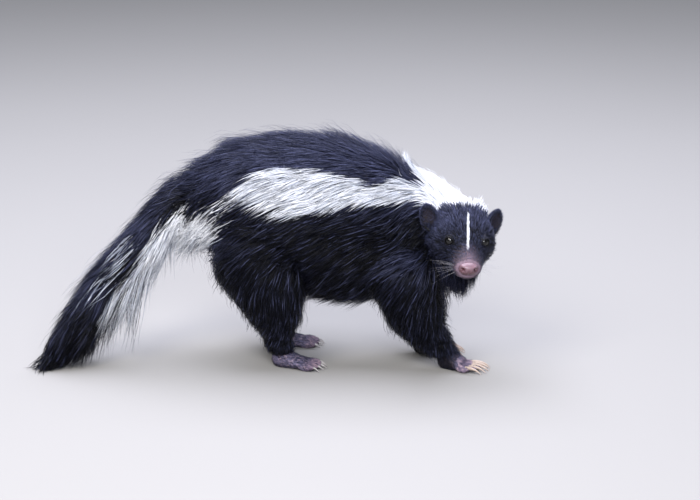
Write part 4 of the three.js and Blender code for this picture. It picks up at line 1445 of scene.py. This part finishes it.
def hairMaterial():
    material, tree, shader = newMaterial("guard hair keratin", hairLook["surface"])
    white, tone, alongHair = channelsOfMarkingAndPaintedLight(tree)
    dark = mixColour(tree, tone, hairLook["black"], hairLook["blackPaleAndSheen"])
    # Black hair darker towards its roots: painted shade deep in the coat
    paintedRootShade = addNode(tree, "ShaderNodeMapRange", {}, {
        "Value": alongHair, "From Min": 0.0, "From Max": 0.75, "To Min": 0.12, "To Max": 1.0,
    })
    dark = mixColour(tree, 1.0, dark, paintedRootShade.outputs[0], "MULTIPLY")
    pale = mixColour(tree, tone, hairLook["whiteDark"], hairLook["white"])
    finishLook(tree, shader, mixColour(tree, white, dark, pale))
    return material


# Hide: thin skin under the coat, dark under black hair, pinkish under white and bare on the muzzle
skinLook = {
    "dark": "#09090c", "pale": "#d2d0d4", "muzzle": "#5d4f59", "muzzleFront": "#7f6a77",
    "foot": "#615c74", "footPale": "#a5929f", "toe": "#86656a", "toePale": "#b98f8b",
    "mottle": 0.35, "pore": 0.45, "relief": 0.35, "reliefDepth": 0.0002,
    "surface": {"Roughness": 0.6, "IOR": 1.4, "Specular IOR Level": 0.3},
}


def skinMaterial():
    material, tree, shader = newMaterial("hide with short velvet", skinLook["surface"])
    parts = channelsOfMarkingAndPaintedLight(tree)
    at = positionIn(tree, 1.0)
    noise = {"Vector": at, "Scale": skinLook["mottle"], "Detail": 4.0, "Roughness": 0.6}
    mottle = addNode(tree, "ShaderNodeTexNoise", {}, noise).outputs[0]
    patches = addNode(tree, "ShaderNodeMapRange", {}, {"Value": mottle, "From Min": 0.5, "From Max": 0.68})
    footShare = addNode(tree, "ShaderNodeMapRange", {}, {"Value": parts[2], "From Max": 0.5})
    toeShare = addNode(tree, "ShaderNodeMapRange", {}, {"Value": parts[2], "From Min": 0.5})
    muzzle = mixColour(tree, mottle, skinLook["muzzle"], skinLook["muzzleFront"])
    foot = mixColour(tree, patches.outputs[0], skinLook["foot"], skinLook["footPale"])
    toes = mixColour(tree, mottle, skinLook["toe"], skinLook["toePale"])
    colour = mixColour(tree, parts[0], skinLook["dark"], skinLook["pale"])
    colour = mixColour(tree, parts[1], colour, muzzle)
    colour = mixColour(tree, footShare.outputs[0], colour, foot)
    colour = mixColour(tree, toeShare.outputs[0], colour, toes)
    pores = addNode(tree, "ShaderNodeTexVoronoi", {}, {"Vector": at, "Scale": 1 / skinLook["pore"]})
    finishLook(tree, shader, colour, pores.outputs[0], skinLook["relief"], skinLook["reliefDepth"])
    return material


# Nose pad: moist bare skin, finely pebbled, with a soft wet highlight
noseLook = {
    # top: the lighter colour of the pad's upper side, painted top light
    "pale": "#684a52", "dark": "#3a1a20", "top": "#7d626c", "patches": 0.3, "pebble": 0.5,
    "relief": 0.5, "reliefDepth": 0.00015,
    "surface": {
        "Roughness": 0.38, "IOR": 1.4, "Subsurface Weight": 0.15, "Subsurface Radius": (0.003, 0.0012, 0.001),
        "Subsurface Scale": 0.6, "Coat Weight": 0.35, "Coat Roughness": 0.15,
    },
}


def noseMaterial():
    material, tree, shader = newMaterial("moist nose leather", noseLook["surface"])
    at = positionIn(tree, 1.0)
    noise = {"Vector": at, "Scale": noseLook["patches"], "Detail": 3.0}
    patchy = addNode(tree, "ShaderNodeTexNoise", {}, noise)
    grain = {"Vector": at, "Scale": 1 / noseLook["pebble"]}
    cells = addNode(tree, "ShaderNodeTexVoronoi", {"feature": "DISTANCE_TO_EDGE"}, grain)
    colour = mixColour(tree, patchy.outputs[0], noseLook["dark"], noseLook["pale"])
    # the pad's upper side takes the lighter colour: painted top light
    colour = mixColour(tree, channelsOfMarkingAndPaintedLight(tree)[0], colour, noseLook["top"])
    finishLook(tree, shader, colour, cells.outputs[0], noseLook["relief"], noseLook["reliefDepth"])
    return material


# Fine materials of two colours in one noise, its scale and detail, and the strength of its relief.
# Claw horn: grown in long layers, pale and a little clear in front, greyer behind. Glass eye: near black
# brown behind a polished clear dome. Whisker bristle: stiff and pale, greyer in bands.
fineLooks = {
    "pale claw horn": ("#9c887c", "#c4b2a4", 0.8, 3.0, 0.15, {"Roughness": 0.3, "IOR": 1.54}),
    "grey claw horn": ("#75706e", "#b4b0ae", 0.8, 3.0, 0.15, {"Roughness": 0.3, "IOR": 1.54}),
    "dark glass eye": ("#010101", "#050302", 1.2, 2.0, 0.0, {"Roughness": 0.05, "IOR": 1.5}),
    "whisker bristle": ("#5a5860", "#c5c2ca", 0.2, 1.0, 0.0, {"Roughness": 0.4}),
}


def fineMaterial(name):
    dark, light, scale, detail, strength, surface = fineLooks[name]
    material, tree, shader = newMaterial(name, surface)
    at = positionIn(tree, 1.0)
    settings = {"Vector": at, "Scale": scale, "Detail": detail}
    noise = addNode(tree, "ShaderNodeTexNoise", {}, settings).outputs[0]
    relief = noise if strength else None
    finishLook(tree, shader, mixColour(tree, noise, dark, light), relief, strength, 0.0002)
    return material

def dress(piece, material):
    piece.data.materials.clear()
    piece.data.materials.append(material)
    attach(piece, "root")


hair = hairMaterial()
dress(skin, skinMaterial())
for piece in coatPieces:
    dress(piece, hair)
glass = fineMaterial("dark glass eye")
for piece, word in zip(eyes, sidesOfBody):
    smooth(piece)
    dress(piece, glass)
    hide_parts(f"eye_{word}")
smooth(nose)
dress(nose, noseMaterial())
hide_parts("nose")
paleHorn = fineMaterial("pale claw horn")
greyHorn = fineMaterial("grey claw horn")
for node, piece in claws:
    smooth(piece)
    fore = "fore" in node
    dress(piece, paleHorn if fore else greyHorn)
    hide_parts(node)
dress(whiskerPiece, fineMaterial("whisker bristle"))
fleshNodes = ["head", "ear_right", "ear_left", "neck", "torso", "tail_base", "tail_middle", "tail_tip"]
fleshNodes += [f"leg_{name}" for name in limbs] + [f"paw_{name}" for name in limbs]
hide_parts(*fleshNodes)
print("materials on")


def aimed(name, data, at, direction):
    made = addObject(name, data)
    made.location = at
    made.rotation_mode = "QUATERNION"
    made.rotation_quaternion = direction.to_track_quat("-Z", "Y")
    return made


# Camera: the photograph's own angle and framing
camera = {"azimuth": 6.0, "elevation": 15.0, "distance": 2.5, "lens": 140.0, "target": (0.0, 0.0, 103.5)}
lens = bpy.data.cameras.new("camera")
lens.lens = camera["lens"]
lens.sensor_width = 36.0
azimuth, elevation = math.radians(camera["azimuth"]), math.radians(camera["elevation"])
back = Vector((
    math.sin(azimuth) * math.cos(elevation), -math.cos(azimuth) * math.cos(elevation), math.sin(elevation),
))
target = Vector(toWorld(np.array(camera["target"])))
bpy.context.scene.camera = aimed("camera", lens, target + back * camera["distance"], -back)

# Studio: a pale floor and large soft lights
studio = {
    "floor": ("#94928f", "#9a9895"),
    "world": ("#dce4f2", 0.38),
    "lights": [
        ("key", (-0.55, -1.35, 1.45), 0.8, 27.0, "#fffaf2"),
        ("top", (0.0, 0.35, 1.6), 1.8, 70.0, "#eceeff"),
        ("fill", (0.42, -1.9, 0.95), 0.8, 40.0, "#f4f6ff"),
    ],
}
floorPiece = meshObject("floor", [(-8, -8, 0), (8, -8, 0), (8, 8, 0), (-8, 8, 0)], [(0, 1, 2, 3)])
floorMaterial, floorTree, floorShader = newMaterial("matt studio paper", {"Roughness": 0.9})
floorAt = positionIn(floorTree, 900.0)
floorNoise = addNode(floorTree, "ShaderNodeTexNoise", {}, {"Vector": floorAt, "Scale": 1.0, "Detail": 2.0})
finishLook(floorTree, floorShader, mixColour(floorTree, floorNoise.outputs[0], *studio["floor"]))
floorPiece.data.materials.append(floorMaterial)
bpy.context.scene.view_settings.view_transform = "Standard"
world = bpy.data.worlds.new("studio")
bpy.context.scene.world = world
world.use_nodes = True
background = world.node_tree.nodes["Background"]
background.inputs["Color"].default_value = linear(studio["world"][0])
background.inputs["Strength"].default_value = studio["world"][1]
for name, at, size, power, colour in studio["lights"]:
    light = bpy.data.lights.new(name, "AREA")
    light.size = size
    light.energy = power
    light.color = linear(colour)[:3]
    aimed(name, light, at, Vector((0, 0, 0.1)) - Vector(at))
print("camera and studio ready")

bpy.context.view_layer.update()
